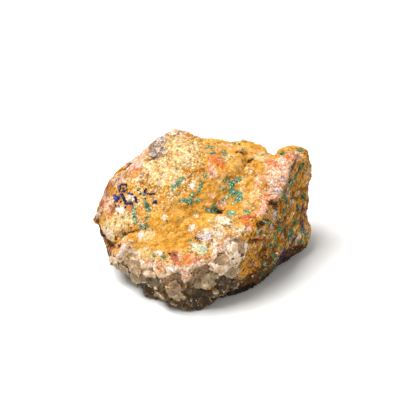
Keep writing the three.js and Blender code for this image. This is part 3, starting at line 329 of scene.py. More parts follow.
MALACHITE_MID = [
    (1.3, [(-6.2, 12.6), (-7.4, 11.8), (-8.2, 10.6), (-9.2, 9.8)]),
    (1.2, [(-2.9, 8.2), (-3.2, 7.3), (-4, 6.2)]), (1, [(-6.8, 5.6), (-5.2, 6), (-4.4, 5.2), (-3.2, 5.6)]),
    (1, [(-2.2, 5.8), (-0.4, 6.2)]),
    (1.1, [(-21.3, 3.6), (-22, 2.4), (-21.4, 1.2), (-21.8, 0.2), (-20.8, -0.8)]),
    (0.8, [(-17.1, 0.8), (-17.9, 0)]), (0.6, [(-17.7, -1.4), (-17.6, -1.6)]),
    (0.7, [(-16.9, -2.2), (-16.8, -2.4)]), (1.1, [(-18.9, -2.2), (-18.6, -2.9), (-17.9, -2.6)]),
    (0.6, [(-9.2, 2.8), (-9.1, 2.7)]), (0.6, [(-7.5, -0.2), (-7.3, -0.3)]),
    (0.7, [(-7.6, 7.7), (-7.2, 7.7)]), (0.5, [(-9.9, 10.9), (-9.8, 10.8)]),
    (0.8, [(-19.6, 8.2), (-19, 8.1)]), (0.7, [(-19, 6.4), (-18.9, 6.3)]),
    (0.8, [(-0.2, 17.5), (0.6, 17.5)]), (0.8, [(1.2, 23.2), (3, 22.9)]), (0.8, [(3.1, 21.2), (4.3, 20.9)]),
    (0.8, [(7, 22), (7.2, 20.6)]), (0.7, [(3.5, 24.3), (3.8, 24.3)]), (0.7, [(9.6, 24.6), (10.4, 24.3)]),
    (0.7, [(12.8, 22.3), (13.6, 22.2)]), (0.9, [(-0.5, 12), (-0.4, 11), (-0.4, 10), (-0.9, 8.6)]),
    (0.7, [(0.8, 14.8), (1.3, 13.8), (1.3, 13)]), (1.6, [(9.3, 12), (9.8, 10.8), (9.2, 9.2), (9.4, 8.2)]),
    (1.8, [(10.4, 8.3), (11.6, 8.2), (12.4, 7.4), (12, 6.4), (11, 5.7)]),
    (1.7, [(12.2, 12.7), (11.4, 12.3)]), (0.7, [(10.6, 12.3), (11, 12.2)]), (0.9, [(6.7, 9.5), (7, 9.8)]),
    (0.7, [(6.8, 12), (7.2, 12.4)]), (0.6, [(9.6, 6.8), (9.8, 7)]), (0.6, [(8, 5.1), (8.2, 5.1)]),
    (0.8, [(0.9, 3.4), (2.4, 2.6)]), (0.8, [(3.4, 4.4), (3.4, 3), (3.6, 1.8)]),
    (0.7, [(-2, 2.4), (-1.7, 2.4)]), (0.9, [(8.6, 0.9), (9, 0.8)]),
    (1, [(13.4, 2), (14.3, 2.4), (15.2, 2.1)]), (1, [(30.6, 22.3), (31.6, 21.9), (32.2, 22.1)]),
    (1, [(30, 13.2), (29.2, 12.2), (28.2, 11.9), (28.4, 10.6), (27.8, 10)]),
    (0.8, [(31.7, 8.2), (31.8, 8.1)]), (0.9, [(33, 8), (32.7, 6.6), (32.8, 5.6)]),
    (1.3, [(25.9, 8.4), (26, 7), (25.6, 6.3)]), (0.8, [(26.8, 6.4), (27.1, 5)]),
    (1.1, [(26.2, 3.4), (26, 1.8)]), (0.9, [(25, 0.4), (24.7, -0.4)]), (0.7, [(28.2, 1.4), (28.3, 1)]),
    (0.7, [(34.3, 18.2), (34.4, 18)]), (0.7, [(33.1, 15.6), (33.2, 15.3)]),
    (0.6, [(19.6, -3.2), (19.7, -3.3)]), (0.9, [(17.6, -3.4), (17.9, -4.4), (18.2, -5.2)]),
    (0.8, [(21.3, -4.8), (21.7, -4.8)]), (1, [(23.4, -4.4), (23, -5.4), (23, -6.2)]),
    (0.8, [(23.3, -7.2), (23.2, -8.4)]), (0.8, [(21.9, -8), (21.9, -9.4)]),
    (1.2, [(28.4, -4.2), (28.3, -5.4), (27.9, -6.8)]), (0.9, [(29.4, -3.6), (29, -5)]),
    (1.3, [(32.4, -3.2), (32.5, -4.4)]), (0.9, [(31, -7), (31, -7.8)]), (0.8, [(32.6, -7.2), (32.6, -7.8)]),
    (0.8, [(22.6, -11.2), (22.6, -12.2)]), (0.9, [(23.6, -13.2), (22.8, -14.8)]),
    (0.6, [(20.6, -15.8), (20, -16.6)]), (0.45, [(19.4, -17.6), (18.5, -18.8)]),
    (0.8, [(25.4, -9.2), (25.3, -9.8)]), (0.7, [(11.9, -14.2), (11.9, -15.2)]),
    (0.6, [(15, -11.6), (15.2, -11.7)]), (0.6, [(27, -8.4), (27.1, -8.5)]),
    (0.7, [(5, -19.5), (5.1, -19.8)]), (0.7, [(-17.6, -9.7), (-17.4, -9.7)]),
    (0.8, [(-15.2, -11.5), (-15, -11.7)]), (0.8, [(-12.9, -11.8), (-12.4, -11.9)]),
    (0.6, [(-12.3, -10.4), (-12.2, -10.5)]), (0.7, [(-25.4, -5.8), (-25.1, -5.8)]),
    (0.6, [(-28, -7.3), (-28, -7.6)]), (0.9, [(-16.6, -21.4), (-16.3, -21.6)]),
    (0.8, [(-3.7, -6.6), (-3.5, -6.7)]), (0.7, [(28.6, 7.2), (28.7, 6.6)]), (0.6, [(27.6, 3.4), (27.6, 3)]),
    (0.6, [(21, -0.8), (21.4, -1.4)]), (0.6, [(29.4, -9.4), (30, -9)]), (0.6, [(20.2, 21.2), (20.5, 21)]),
    (0.6, [(21.8, 21), (22, 20.9)]),
]
MALACHITE_DARK = [
    (1.3, [(-18.2, 5.2), (-17.4, 4.2), (-17.3, 3.2), (-16.4, 2.6)]), (0.9, [(-12.1, -11.9), (-11.8, -12)]),
    (1.1, [(4.2, 3.2), (4.8, 2.5), (5.6, 2)]), (0.6, [(24.5, 20.9), (25.5, 21), (26.6, 21.4)]),
    (0.9, [(32.8, 17.8), (32.3, 16.8), (31, 16), (30.4, 14.5), (30, 13.4)]),
    (0.7, [(31.3, 11.4), (31.5, 11.4)]), (1.2, [(30.6, 4.4), (31, 3.6), (30.5, 2.8)]),
    (1.3, [(30.4, -0.6), (29.8, -1.8)]), (1.4, [(24.6, -2.6), (24.9, -3.6)]),
    (0.9, [(13.2, -18.6), (13.6, -18.9)]), (0.6, [(11.9, 24.1), (12.2, 24)]),
    (0.5, [(11.8, -15), (11.9, -15.2)]), (0.8, [(9.7, 11.8), (10.2, 11.2)]),
    (0.6, [(22, -17), (23.6, -15.6)]), (0.7, [(28.4, -3), (28.8, -3.4)]), (0.7, [(31.6, 0), (31.2, -0.8)]),
]

# Growths of azurite: width and path, from deep to bright
AZURITE_DEEP = [
    (0.4, [(-25.2, 9.9), (-25.4, 9.7)]), (0.5, [(-24.1, 9.4), (-24.3, 9.3)]),
    (0.9, [(-27.2, 6.9), (-26.9, 6.2)]), (0.6, [(-26.1, 5.6), (-25.9, 5.1)]),
    (0.8, [(-23.4, 4.6), (-22.2, 4.7)]), (0.6, [(-25.9, 7.6), (-25.5, 7.9)]),
    (0.5, [(-19.6, 7.9), (-19.3, 7.8)]), (0.5, [(-26.6, 4.2), (-26.3, 4)]),
    (0.5, [(-17.9, 9.6), (-17.7, 9.4)]), (0.8, [(-26.5, 10.2), (-25.6, 10.9), (-24.1, 11), (-24, 10.4)]),
    (0.8, [(-26.2, 9.6), (-26.5, 8.8)]), (0.6, [(-25.4, 8.7), (-24.8, 8.9)]),
    (1.3, [(-25.2, 7.2), (-25, 6.4), (-24.6, 5.8)]), (0.8, [(-24.8, 5.2), (-23.8, 4.8), (-22.6, 5)]),
    (0.9, [(-21.1, 6.6), (-20.8, 5.6)]), (0.7, [(-20.6, 9.3), (-20.4, 9.2)]),
    (0.7, [(-18.3, 9), (-18, 8.2)]), (0.7, [(-17.4, 8), (-16.4, 7.9), (-15.2, 8)]),
    (0.6, [(-18.1, 6.6), (-18.1, 6.4)]), (0.8, [(-15.4, 5.2), (-14.6, 5.7), (-14.2, 4.9)]),
    (0.7, [(-11.2, -0.5), (-11, -0.5)]), (0.6, [(-10.4, -11), (-10.2, -11)]),
    (0.7, [(-27.7, 4.4), (-27.5, 3.9)]), (0.6, [(-21.4, 7.2), (-21.2, 6.8)]),
    (0.5, [(17.8, -19.1), (18.1, -19.2)]), (0.5, [(-23.8, 8.2), (-23.6, 8.2)]),
]
AZURITE_BRIGHT = [
    (1.1, [(-27.8, 7.4), (-27.5, 6.4), (-27.4, 5.6)]), (0.8, [(-26.9, 7.1), (-26.5, 6.8)]),
    (0.5, [(-24.6, 9), (-24.2, 9)]), (0.7, [(-23.4, 8.2), (-22.8, 8.3), (-22.2, 7.6)]),
    (0.6, [(-18.6, 7.7), (-18.4, 7.6)]), (0.6, [(-24.5, 3.7), (-24.3, 3.5)]),
    (0.6, [(-26.8, 1.8), (-26.6, 1.7)]), (0.6, [(-26.5, -8.3), (-26.1, -8.5)]),
    (0.5, [(-23, -8.7), (-22.8, -9.1)]), (1, [(32.4, 4.2), (32, 2.8)]), (1, [(32.8, 1.4), (33.2, 0.8)]),
    (0.7, [(33.8, 3.8), (33.8, 3.2)]), (0.9, [(32.6, -1.2), (32, -2.2)]),
    (0.8, [(30.2, -5.8), (29.8, -6.6), (29.4, -7.2)]), (0.9, [(28.7, -8.2), (27.8, -9)]),
    (0.7, [(26.3, -9.2), (26.4, -10.4), (25.5, -11.4)]),
    (0.6, [(25.6, -11.8), (25.4, -12.8), (24.6, -13.8), (24, -14.6)]), (0.5, [(-3.5, -16.7), (-3.3, -17)]),
    (0.5, [(3.5, -15.7), (3.6, -15.9)]), (0.5, [(34, -4.2), (34.2, -4.4)]),
    (0.5, [(31.4, 0.6), (31.6, 0.2)]),
]

# Lumps of the quartz: a, b, half width, half height, tone, redness and, where turned, degrees
QUARTZ_TONES = [
    (-27.6, -13, 2.6, 1.4, 0.68, 0.05, -25), (-25.8, -15.4, 2.6, 2.2, 0.42, 0.1, -40),
    (-21.5, -14.4, 4.6, 3.6, 0.57, 0.4, -30), (-17.6, -17.4, 2.4, 1.1, 0.8, 0.6, -20),
    (-20.6, -18.6, 3.4, 1.6, 0.56, 0.15, -22), (-16.4, -20, 2.6, 1.2, 0.38, 0.1, -10),
    (-17.6, -22.6, 2.4, 1.6, 0.12, 0.4, -30), (-13.6, -25, 2.2, 1.1, 0.4, 0.1, -30),
    (-12.8, -21.2, 1.2, 3.6, 0.24, 0.1, 21), (-9.4, -19.6, 3.4, 1.9, 0.46, 0.8),
    (-9.2, -22.2, 2.8, 1.6, 0.54, 0.6), (-7.8, -24.4, 2.4, 1.6, 0.58, 0.1, -15),
    (-10.6, -25.8, 1.8, 1, 0.25, 0.1, -40), (-5, -20.8, 1.8, 1.2, 0.32, 0.2),
    (-3.8, -23.6, 2.4, 1.2, 0.15, 0), (-0.6, -16.4, 3, 2.6, 0.42, 0.7), (1.6, -19.4, 2.9, 2.7, 0.55, 0.1),
    (0.8, -20.6, 0.9, 0.9, 0.7, 0), (0.8, -23.8, 3.6, 1.4, 0.12, 0), (6.4, -12.6, 2.8, 2.4, 0.62, 0.6),
    # The dark lump at 6.2, -10.5 is a painted shadow under the broken edge of the crust
    (6.2, -10.5, 1.3, 0.5, 0.2, 0.4), (9.8, -9, 1.7, 1.9, 0.88, 0.4), (12.4, -8.8, 1.3, 1.8, 0.58, 0.6),
    (11.6, -6.6, 2.4, 0.8, 0.5, 0.6), (13.9, -8.6, 0.4, 1.3, 0.92, 0.3), (12.8, -11.4, 0.5, 0.5, 0.25, 0.4),
    (7.9, -11.2, 0.4, 1.6, 0.86, 0.4, 30), (10.4, -12.9, 2.8, 1.8, 0.86, 0.2, -20),
    (6.2, -15.6, 3.8, 1.5, 0.82, 0.4, -10), (9.4, -17.2, 2.2, 1.8, 0.55, 0, 20),
    (7.6, -20.8, 3.2, 2.4, 0.15, 0.1), (4.2, -23, 0.9, 0.9, 0.65, 0.4), (-2.6, -26.8, 5.6, 1.5, 0.14, 0.3),
    (-8.6, -27.6, 3, 0.9, 0.18, 0.1, -10), (-6, -25.2, 1.2, 1.1, 0.4, 0), (-9.4, 27.7, 1.5, 1.4, 0.74, 0.6),
    (-7, 27.6, 1.4, 1.3, 0.84, 0.8),
]

# Bright glints on the quartz, as the stains are given
GLITTER = [
    (-2.6, -27, 4, 1.4, 1), (-25.8, -15.4, 2.4, 1.8, 0.8, -40), (8, -21, 3.4, 2.2, 0.6),
    (-17.4, -23, 2.4, 1.4, 0.8, -30), (-9, -20.6, 3, 1.6, 0.65), (-21, -17, 3, 2.4, 0.55, -20),
    (4.2, -23, 0.9, 0.8, 1), (1, -18, 2.4, 1.4, 0.4), (7, -12, 3, 2.6, 0.3),
]

# Ochre dirt on the quartz, as the stains are given
QUARTZ_DIRT = [
    (-17.2, -21.6, 0.6, 0.5, 0.6), (-9.2, -27.2, 1.4, 0.4, 0.5, -10), (-28.6, -12.8, 1.2, 0.5, 0.5, -10),
    (3.6, -24.8, 1.6, 0.4, 0.5, 10), (-5.4, -18.4, 0.9, 1.3, 1, 10), (-4.2, -16.8, 1, 0.9, 0.8),
    (10.6, -12.4, 2.4, 0.5, 0.5, 20), (7.4, -24.4, 2.6, 0.4, 0.6, 12), (11.8, -20.6, 0.6, 1.8, 0.6),
    (-15, -22, 0.5, 0.5, 1), (-6, -25.2, 0.8, 0.7, 0.5), (-22, -12.4, 1.6, 0.5, 0.6, -20),
    (-13.6, -24.2, 1.4, 0.5, 0.5, -35),
]


# ---- colours
# How much faster green and blue fade than red as earth darkens
GREEN_FALL = 1.12
BLUE_FALL = 1.3


def linear(red, green, blue):
    """A colour given from 0 to 255, as the linear values a shader takes, by the sRGB curve."""
    channels = [v / 255 for v in (red, green, blue)]
    return tuple(v / 12.92 if v <= 0.04045 else ((v + 0.055) / 1.055) ** 2.4 for v in channels) + (1.0,)


def shades(*stops):
    """Colour stops for a ramp, each given as its position, red, green and blue."""
    return [(position, linear(*colour)) for position, *colour in stops]


def scaled(colour, amount):
    """A colour made darker; the blue falls fastest, as it does in wet earth."""
    return (colour[0] * amount, colour[1] * amount**GREEN_FALL, colour[2] * amount**BLUE_FALL, 1.0)


def between(first, second, share):
    """A colour part of the way from the first to the second."""
    return tuple(a + (b - a) * share for a, b in zip(first, second))


def colour_choice(name, description, colour):
    """A setting that holds a colour."""
    return bpy.props.FloatVectorProperty(
        name=name, description=description, default=colour, size=4, min=0, max=1, subtype="COLOR")


# ---- settings
class SpecimenCrust(bpy.types.PropertyGroup):
    """Sizes and colours of the ochre crust."""

    mesh_step: bpy.props.FloatProperty(
        name="Mesh step", description="Spacing of the crust's points, in millimetres",
        default=0.30, min=0.2, max=2)
    face_limit: bpy.props.IntProperty(
        name="Face limit", description="Most triangles the crust may have", default=192000, min=10000)
    grain_height: bpy.props.FloatProperty(
        name="Grain height", description="Height of a crust grain, in millimetres",
        default=0.26, min=0, max=1)
    furrow_depth: bpy.props.FloatProperty(
        name="Furrow depth", description="Depth of the furrows in the smooth valley, in millimetres",
        default=0.14)
    thickness: bpy.props.FloatProperty(
        name="Crust thickness", description="How far the crust stands above the quartz, in millimetres",
        default=0.9)
    gold: colour_choice("Gold", "Main colour of the crust", linear(232, 162, 46))
    cream: colour_choice("Cream", "Colour of the pale grains", linear(252, 226, 166))
    earth: colour_choice("Earth", "Main colour of the brown stains", linear(212, 137, 10))


class SpecimenQuartz(bpy.types.PropertyGroup):
    """Sizes and finish of the smoky quartz."""

    mesh_step: bpy.props.FloatProperty(
        name="Mesh step", description="Spacing of the quartz's points, in millimetres",
        default=0.34, min=0.2, max=2)
    facet: bpy.props.FloatProperty(
        name="Facet size", description="Width of a fracture facet, in millimetres",
        default=3.6, min=0.5, max=10)
    facet_tilt: bpy.props.FloatProperty(
        name="Facet tilt", description="Rise of a fracture facet over its width",
        default=0.20, min=0, max=1)
    lump_step: bpy.props.FloatProperty(
        name="Lump step", description="How far the palest lumps stand above the darkest, in millimetres",
        default=0.5)
    roughness: bpy.props.FloatProperty(
        name="Roughness", description="Sheen of a fresh break",
        default=0.34, min=0, max=1, subtype="FACTOR")
    clearness: bpy.props.FloatProperty(
        name="Clearness", description="Share of light that passes through",
        default=0.10, min=0, max=1, subtype="FACTOR")
    dark: colour_choice("Dark", "Colour of the smoky depths", linear(70, 48, 4))
    pale: colour_choice("Pale", "Colour of the milky lumps", linear(216, 191, 152))


class SpecimenGrowths(bpy.types.PropertyGroup):
    """Sizes of the copper minerals' crystals."""

    malachite_size: bpy.props.FloatProperty(
        name="Malachite size", description="Radius of a malachite grain, in millimetres",
        default=0.27, min=0.1, max=2)
    azurite_size: bpy.props.FloatProperty(
        name="Azurite size", description="Radius of an azurite blade, in millimetres",
        default=0.34, min=0.1, max=2)
    seed: bpy.props.IntProperty(name="Seed", description="Start of the random numbers", default=11)
    # The dark colour also serves as painted shade at the feet of the grains
    malachite_dark: colour_choice("Dark malachite", "Colour between the grains", linear(6, 54, 36))
    malachite: colour_choice("Malachite", "Main colour of the grains", linear(52, 120, 88))
    malachite_pale: colour_choice("Pale malachite", "Colour of the freshest grains", linear(176, 220, 196))
    azurite_dark: colour_choice("Dark azurite", "Colour of the deepest blades", linear(8, 4, 42))
    azurite: colour_choice("Azurite", "Main colour of the blades", linear(30, 25, 104))
    azurite_pale: colour_choice("Pale azurite", "Colour of the brightest blades", linear(98, 106, 192))


class SpecimenStage(bpy.types.PropertyGroup):
    """Camera, lamps and floor."""

    distance: bpy.props.FloatProperty(
        name="Camera distance", description="From the camera to the stone", default=1.2, unit="LENGTH")
    frame_width: bpy.props.FloatProperty(
        name="Frame width", description="Width that the camera takes in at the stone",
        default=0.1331, unit="LENGTH")
    key_power: bpy.props.FloatProperty(
        name="Key lamp power", description="Watts of the large lamp above", default=7.6)
    fill_power: bpy.props.FloatProperty(
        name="Fill lamp power", description="Watts of the low lamp in front", default=1.1)
    world_strength: bpy.props.FloatProperty(
        name="World strength", description="Light from all round", default=0.44)


def colours_of(settings, *names):
    """The named colours of a group of settings."""
    return [tuple(getattr(settings, name)) for name in names]


# ---- numbers
# Whole numbers that scramble a cell and a seed into one random number
CELL_PRIMES = (73856093, 19349663, 83492791)
SEED_PRIME = 2654435761
SCRAMBLES = ((15, 2246822519), (13, 3266489917))
LAST_SHIFT = 16
WORD = 0xFFFFFFFF
FRACTION = 0xFFFFFF
# Brings the noise to about -1 to 1
NOISE_GAIN = 2.6
FAR = 1e9
TINY = 1e-9
# Where a patch is gone and where it is full, as shares of its half width and half height
PATCH_GONE, PATCH_FULL = 1.5, 0.5


def smooth(low, high, value):
    """Rises from 0 to 1 between low and high with soft ends; low may be above high."""
    t = np.clip((value - low) / (high - low), 0, 1)
    return t * t * (3 - 2 * t)


def lattice(cell, seed):
    """One random number from 0 to 1 for each whole-numbered cell."""
    n = seed * SEED_PRIME
    for k, prime in enumerate(CELL_PRIMES):
        n = n ^ (cell[:, k] * prime)
    n &= WORD
    for shift, factor in SCRAMBLES:
        n = ((n ^ (n >> shift)) * factor) & WORD
    return ((n ^ (n >> LAST_SHIFT)) & FRACTION) / FRACTION


def noise(points, size, seed):
    """Smooth random heights from about -1 to 1, with hills `size` millimetres apart."""
    q = points / size
    cell = np.floor(q).astype(np.int64)
    t = q - cell
    fade = t * t * t * (t * (t * 6 - 15) + 10)
    total = np.zeros(len(points))
    for corner in product((0, 1), repeat=3):
        weight = np.prod(np.where(corner, fade, 1 - fade), axis=1)
        here = cell + corner
        slope = sum((lattice(here, seed + 17 * k) - 0.5) * (t[:, k] - corner[k]) for k in range(3))
        total += weight * slope
    return total * NOISE_GAIN


def noises(points, size, seeds):
    """One noise for each seed, side by side."""
    return np.stack([noise(points, size, seed) for seed in seeds], axis=1)


def layers(points, size, seed, count):
    """Several sizes of noise added up, each half as large and half as high as the last."""
    return sum(noise(points, size / 2**k, seed + 101 * k) / 2**k for k in range(count))


def scattered(points, size, seed):
    """The nearest of many scattered spots: its distance, the offset from it and its cell."""
    q = points / size
    cell = np.floor(q).astype(np.int64)
    nearest = np.full(len(points), FAR)
    offset = np.zeros_like(points)
    owner = cell.copy()
    for step in product((-1, 0, 1), repeat=3):
        here = cell + step
        spot = here + np.stack([lattice(here, seed + 31 * k) for k in range(3)], axis=1)
        away = q - spot
        distance = np.linalg.norm(away, axis=1)
        closer = distance < nearest
        nearest = np.where(closer, distance, nearest)
        offset[closer] = away[closer]
        owner[closer] = here[closer]
    return nearest * size, offset * size, owner


def dome(distance, radius):
    """A rounded bump: 1 at its middle, 0 from its radius outward."""
    return np.clip(1 - (distance / radius) ** 2, 0, 1)


def bell(distance, width):
    """1 at no distance, dying away past the width."""
    return np.exp(-((distance / width) ** 2))


def distance_to_path(ab, path):
    """Distance of each point of the show face from a line through the path."""
    best = np.full(len(ab), FAR)
    for start, end in zip(path, path[1:]):
        start, run = np.array(start), np.array(end) - np.array(start)
        along = np.clip((ab - start) @ run / max(run @ run, TINY), 0, 1)
        best = np.minimum(best, np.linalg.norm(ab - start - along[:, None] * run, axis=1))
    return best


def inside_distance(ab, outline):
    """Distance from an outline on the show face, positive inside it."""
    inside = np.zeros(len(ab), dtype=bool)
    closed = outline + outline[:1]
    for (a0, b0), (a1, b1) in zip(closed, closed[1:]):
        crosses = (b0 > ab[:, 1]) != (b1 > ab[:, 1])
        where = a0 + (ab[:, 1] - b0) * (a1 - a0) / ((b1 - b0) or TINY)
        inside ^= crosses & (ab[:, 0] < where)
    away = distance_to_path(ab, closed)
    return np.where(inside, away, -away)


def ellipse_shares(ab, a, b, half_a, half_b, turn=0):
    """Places along and across a turned ellipse, as shares of its half width and half height."""
    cosine, sine = math.cos(math.radians(turn)), math.sin(math.radians(turn))
    along = ((ab[:, 0] - a) * cosine + (ab[:, 1] - b) * sine) / half_a
    across = ((ab[:, 1] - b) * cosine - (ab[:, 0] - a) * sine) / half_b
    return along, across


def patch_weight(ab, patches):
    """How strongly each point lies in any of the patches, fading at their edges."""
    best = np.zeros(len(ab))
    for a, b, half_a, half_b, strength, *turn in patches:
        reach = np.hypot(*ellipse_shares(ab, a, b, half_a, half_b, *turn))
        best = np.maximum(best, strength * smooth(PATCH_GONE, PATCH_FULL, reach))
    return best


def to_layout(points):
    """Frame millimetres to the show face's a, b and c."""
    return (points - LAYOUT_ORIGIN) @ AXES.T


def from_layout(points):
    """The show face's a, b and c to frame millimetres."""
    return points @ AXES + LAYOUT_ORIGIN


def height_over_floor(points):
    """How high each point of the layout lies over the floor, in millimetres."""
    return from_layout(points)[:, 2]


# ---- meshes
WELD_DISTANCE = 1e-6


def linked(name, data):
    """A new object in the scene that holds the data."""
    holder = bpy.data.objects.new(name, data)
    bpy.context.scene.collection.objects.link(holder)
    return holder


def resampled_stone(step):
    """The solid's surface as evenly spaced points: positions and normals in layout millimetres, and faces."""
    shell = bmesh.new()
    shell.from_mesh(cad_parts["stone"].data)
    bmesh.ops.remove_doubles(shell, verts=shell.verts, dist=WELD_DISTANCE)
    bmesh.ops.scale(shell, vec=(1 / MM,) * 3, verts=shell.verts)
    mesh = bpy.data.meshes.new("resampled")
    shell.to_mesh(mesh)
    shell.free()
    holder = linked("resampled", mesh)
    remesh = holder.modifiers.new("even", "REMESH")
    remesh.mode = "VOXEL"
    remesh.voxel_size = step
    apply_modifiers(holder)
    points, normals, faces = arrays(holder.data)
    bpy.data.objects.remove(holder)
    return to_layout(points), normals @ AXES.T, faces


def apply_modifiers(holder):
    """Replaces an object's mesh by the one its modifiers make."""
    graph = bpy.context.evaluated_depsgraph_get()
    evaluated = holder.evaluated_get(graph)
    mesh = bpy.data.meshes.new_from_object(evaluated, preserve_all_data_layers=True, depsgraph=graph)
    holder.modifiers.clear()
    holder.data = mesh


def positions(mesh):
    """A mesh's points in its own units."""
    points = np.empty(len(mesh.vertices) * 3)
    mesh.vertices.foreach_get("co", points)
    return points.reshape(-1, 3)


def arrays(mesh):
    """Points, normals and faces of a mesh whose faces all have the same number of corners."""
    normals = np.empty(len(mesh.vertices) * 3)
    mesh.vertex_normals.foreach_get("vector", normals)
    corners = np.empty(len(mesh.loops), dtype=np.int64)
    mesh.loops.foreach_get("vertex_index", corners)
    return positions(mesh), normals.reshape(-1, 3), corners.reshape(len(mesh.polygons), -1)


def face_sides(faces):
    """The two ends of every side of every face, in the face's own direction."""
    corners = faces.shape[1]
    return np.concatenate([faces[:, (k, (k + 1) % corners)] for k in range(corners)])


def edges_of(faces):
    """Every pair of neighbouring points, once in each direction."""
    pairs = face_sides(faces)
    return np.concatenate([pairs, pairs[:, ::-1]])


def spread(values, edges, times):
    """Values averaged with their neighbours', again and again."""
    count = len(values)
    degree = np.bincount(edges[:, 0], minlength=count)
    for _ in range(times):
        columns = [
            np.bincount(edges[:, 0], weights=values[edges[:, 1], k], minlength=count) / degree
            for k in range(values.shape[1])
        ]
        values = 0.5 * values + 0.5 * np.stack(columns, axis=1)
    return values


def softened(normals, edges, times):
    """Normals averaged with their neighbours', and made as long as before."""
    soft = spread(normals, edges, times)
    return soft / np.linalg.norm(soft, axis=1)[:, None]


def build_mesh(name, points, faces, attributes):
    """A mesh in metres from layout millimetres, with one number a point for each attribute."""
    mesh = bpy.data.meshes.new(name)
    sides = faces.shape[1]
    mesh.vertices.add(len(points))
    mesh.vertices.foreach_set("co", (from_layout(points) * MM).ravel())
    mesh.loops.add(faces.size)
    mesh.loops.foreach_set("vertex_index", faces.ravel().astype(np.int32))
    mesh.polygons.add(len(faces))
    mesh.polygons.foreach_set("loop_start", np.arange(0, faces.size, sides, dtype=np.int32))
    mesh.update(calc_edges=True)
    mesh.validate()
    for key, values in attributes.items():
        layer = mesh.attributes.new(key, "FLOAT", "POINT")
        layer.data.foreach_set("value", np.asarray(values, dtype=np.float32))
    return mesh


def add_piece(name, mesh, material):
    """Links a mesh as a piece of the stone and gives it its finish."""
    mesh.name = name
    mesh.materials.clear()
    mesh.materials.append(material)
    piece = linked(name, mesh)
    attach(piece, "root")
    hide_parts("stone")


# ---- fields over the stone
# How far a normal leans out of the show face where its detail begins and where it is full
DETAIL_BEGINS, DETAIL_FULL = -0.12, 0.18
# Bare quartz at the top: a, b, half width and half height, and how deep its middle lies inside
TIP = (-8.1, 27.9, 1.5, 0.9)
TIP_DEPTH = 1.5
# Bare quartz at the foot of the other sides: its height, and how it gives way upward and to the right
FOOT_HEIGHT = 12.0
FOOT_RISE = 0.30
FOOT_END = 8
FOOT_FADE = 0.28
# How much longer than wide furrows and streaks of stain are
FURROW_STRETCH = 3.0
STREAK_STRETCH = 3.2
# Stains on the sides that face away: strength, and where their blotches begin and are full
HIDDEN_STAINS = {
    "granular": (1.0, -0.2, 0.3),
    "pale": (0.8, 0.05, 0.45),
    "orange": (0.7, 0.15, 0.5),
    "rose": (0.8, 0.15, 0.5),
    "maroon": (0.8, 0.30, 0.6),
}
BLOTCH_SIZE = 7.0
# Stains along the border of the quartz, with their strengths
BORDER_STAINS = {"rose": 0.66, "white": 0.5, "pale": 0.8}


def facing_show(normals):
    """1 where the surface faces the same way as the show face, 0 where it turns away."""
    return smooth(DETAIL_BEGINS, DETAIL_FULL, normals[:, 2])


def quartz_exposed(points, normals):
    """Distance inside the bare quartz in millimetres, below 0 under the crust."""
    ragged = 0.55 * noise(points, 1.5, 3) + 0.35 * noise(points, 0.7, 5)
    tip = TIP_DEPTH - np.hypot(*ellipse_shares(points[:, :2], *TIP))
    shown = np.maximum(inside_distance(points[:, :2], QUARTZ_EDGE), tip)
    foot = (FOOT_HEIGHT - height_over_floor(points)) * FOOT_RISE
    hidden = foot + 4.0 * noise(points, 11, 7) - np.maximum(points[:, 0] - FOOT_END, 0) * FOOT_FADE
    front = facing_show(normals)
    return front * shown + (1 - front) * hidden + ragged


def valley_weight(points):
    """1 on the smooth tongue of crust in the valley."""
    away = distance_to_path(points[:, :2], VALLEY)
    return smooth(1.25, 0.65, (away + 1.6 * noise(points, 4, 9)) / VALLEY_HALF_WIDTH)


def along_streaks(points, angle):
    """Coordinates stretched along streaks that cross the show face at an angle."""
    cosine, sine = math.cos(angle), math.sin(angle)
    along = points[:, 0] * cosine + points[:, 1] * sine
    beside = points[:, 1] * cosine - points[:, 0] * sine
    return np.stack([along / FURROW_STRETCH, beside, points[:, 2]], axis=1)


def crust_masks(points, normals, exposed):
    """Stains of the crust by name, from 0 to 1."""
    warp = noises(points, 2.4, (41, 43)) * 0.6
    warp += noises(points, 1.0, (47, 49)) * 0.5
    ab = points[:, :2] + warp
    front = facing_show(normals)
    masks = {name: front * patch_weight(ab, patches) for name, patches in PATCHES.items()}
    add_hidden_stains(masks, points, 1 - front)
    valley = front * valley_weight(points)
    masks["gold"] = valley
    masks["granular"] = np.maximum(masks["granular"], 0.5 * front) * (1 - 0.7 * valley)
    growths = MALACHITE_PALE + MALACHITE_MID + MALACHITE_DARK
    masks["verdigris"] = front * stroke_weight(ab, growths, 0.2)
    masks["azure"] = front * stroke_weight(ab, AZURITE_DEEP + AZURITE_BRIGHT, 0.0)
    masks = {name: np.clip(values, 0, 1) for name, values in masks.items()}
    border = smooth(-2.2, -0.3, exposed) * smooth(14, 10, points[:, 0]) * smooth(20, 12, points[:, 1])
    for name, strength in BORDER_STAINS.items():
        masks[name] = np.maximum(masks[name], strength * border * front)
    return masks


def add_hidden_stains(masks, points, hidden):
    """Blotches of the same stains on the sides that face away, darker toward the floor."""
    blotches = [layers(points, BLOTCH_SIZE, 61 + 3 * k, 3) for k in range(6)]
    for (name, (strength, begins, full)), blotch in zip(HIDDEN_STAINS.items(), blotches):
        masks[name] += hidden * strength * smooth(begins, full, blotch)
    height = height_over_floor(points)
    masks["brown"] += hidden * np.clip(smooth(26, 8, height) + smooth(0.0, 0.5, blotches[5]), 0, 1)
    masks["umber"] += hidden * smooth(13, 2, height + 5 * blotches[2])
    masks["white"] += hidden * 0.7 * smooth(0.55, 0.85, blotches[0] - blotches[3])


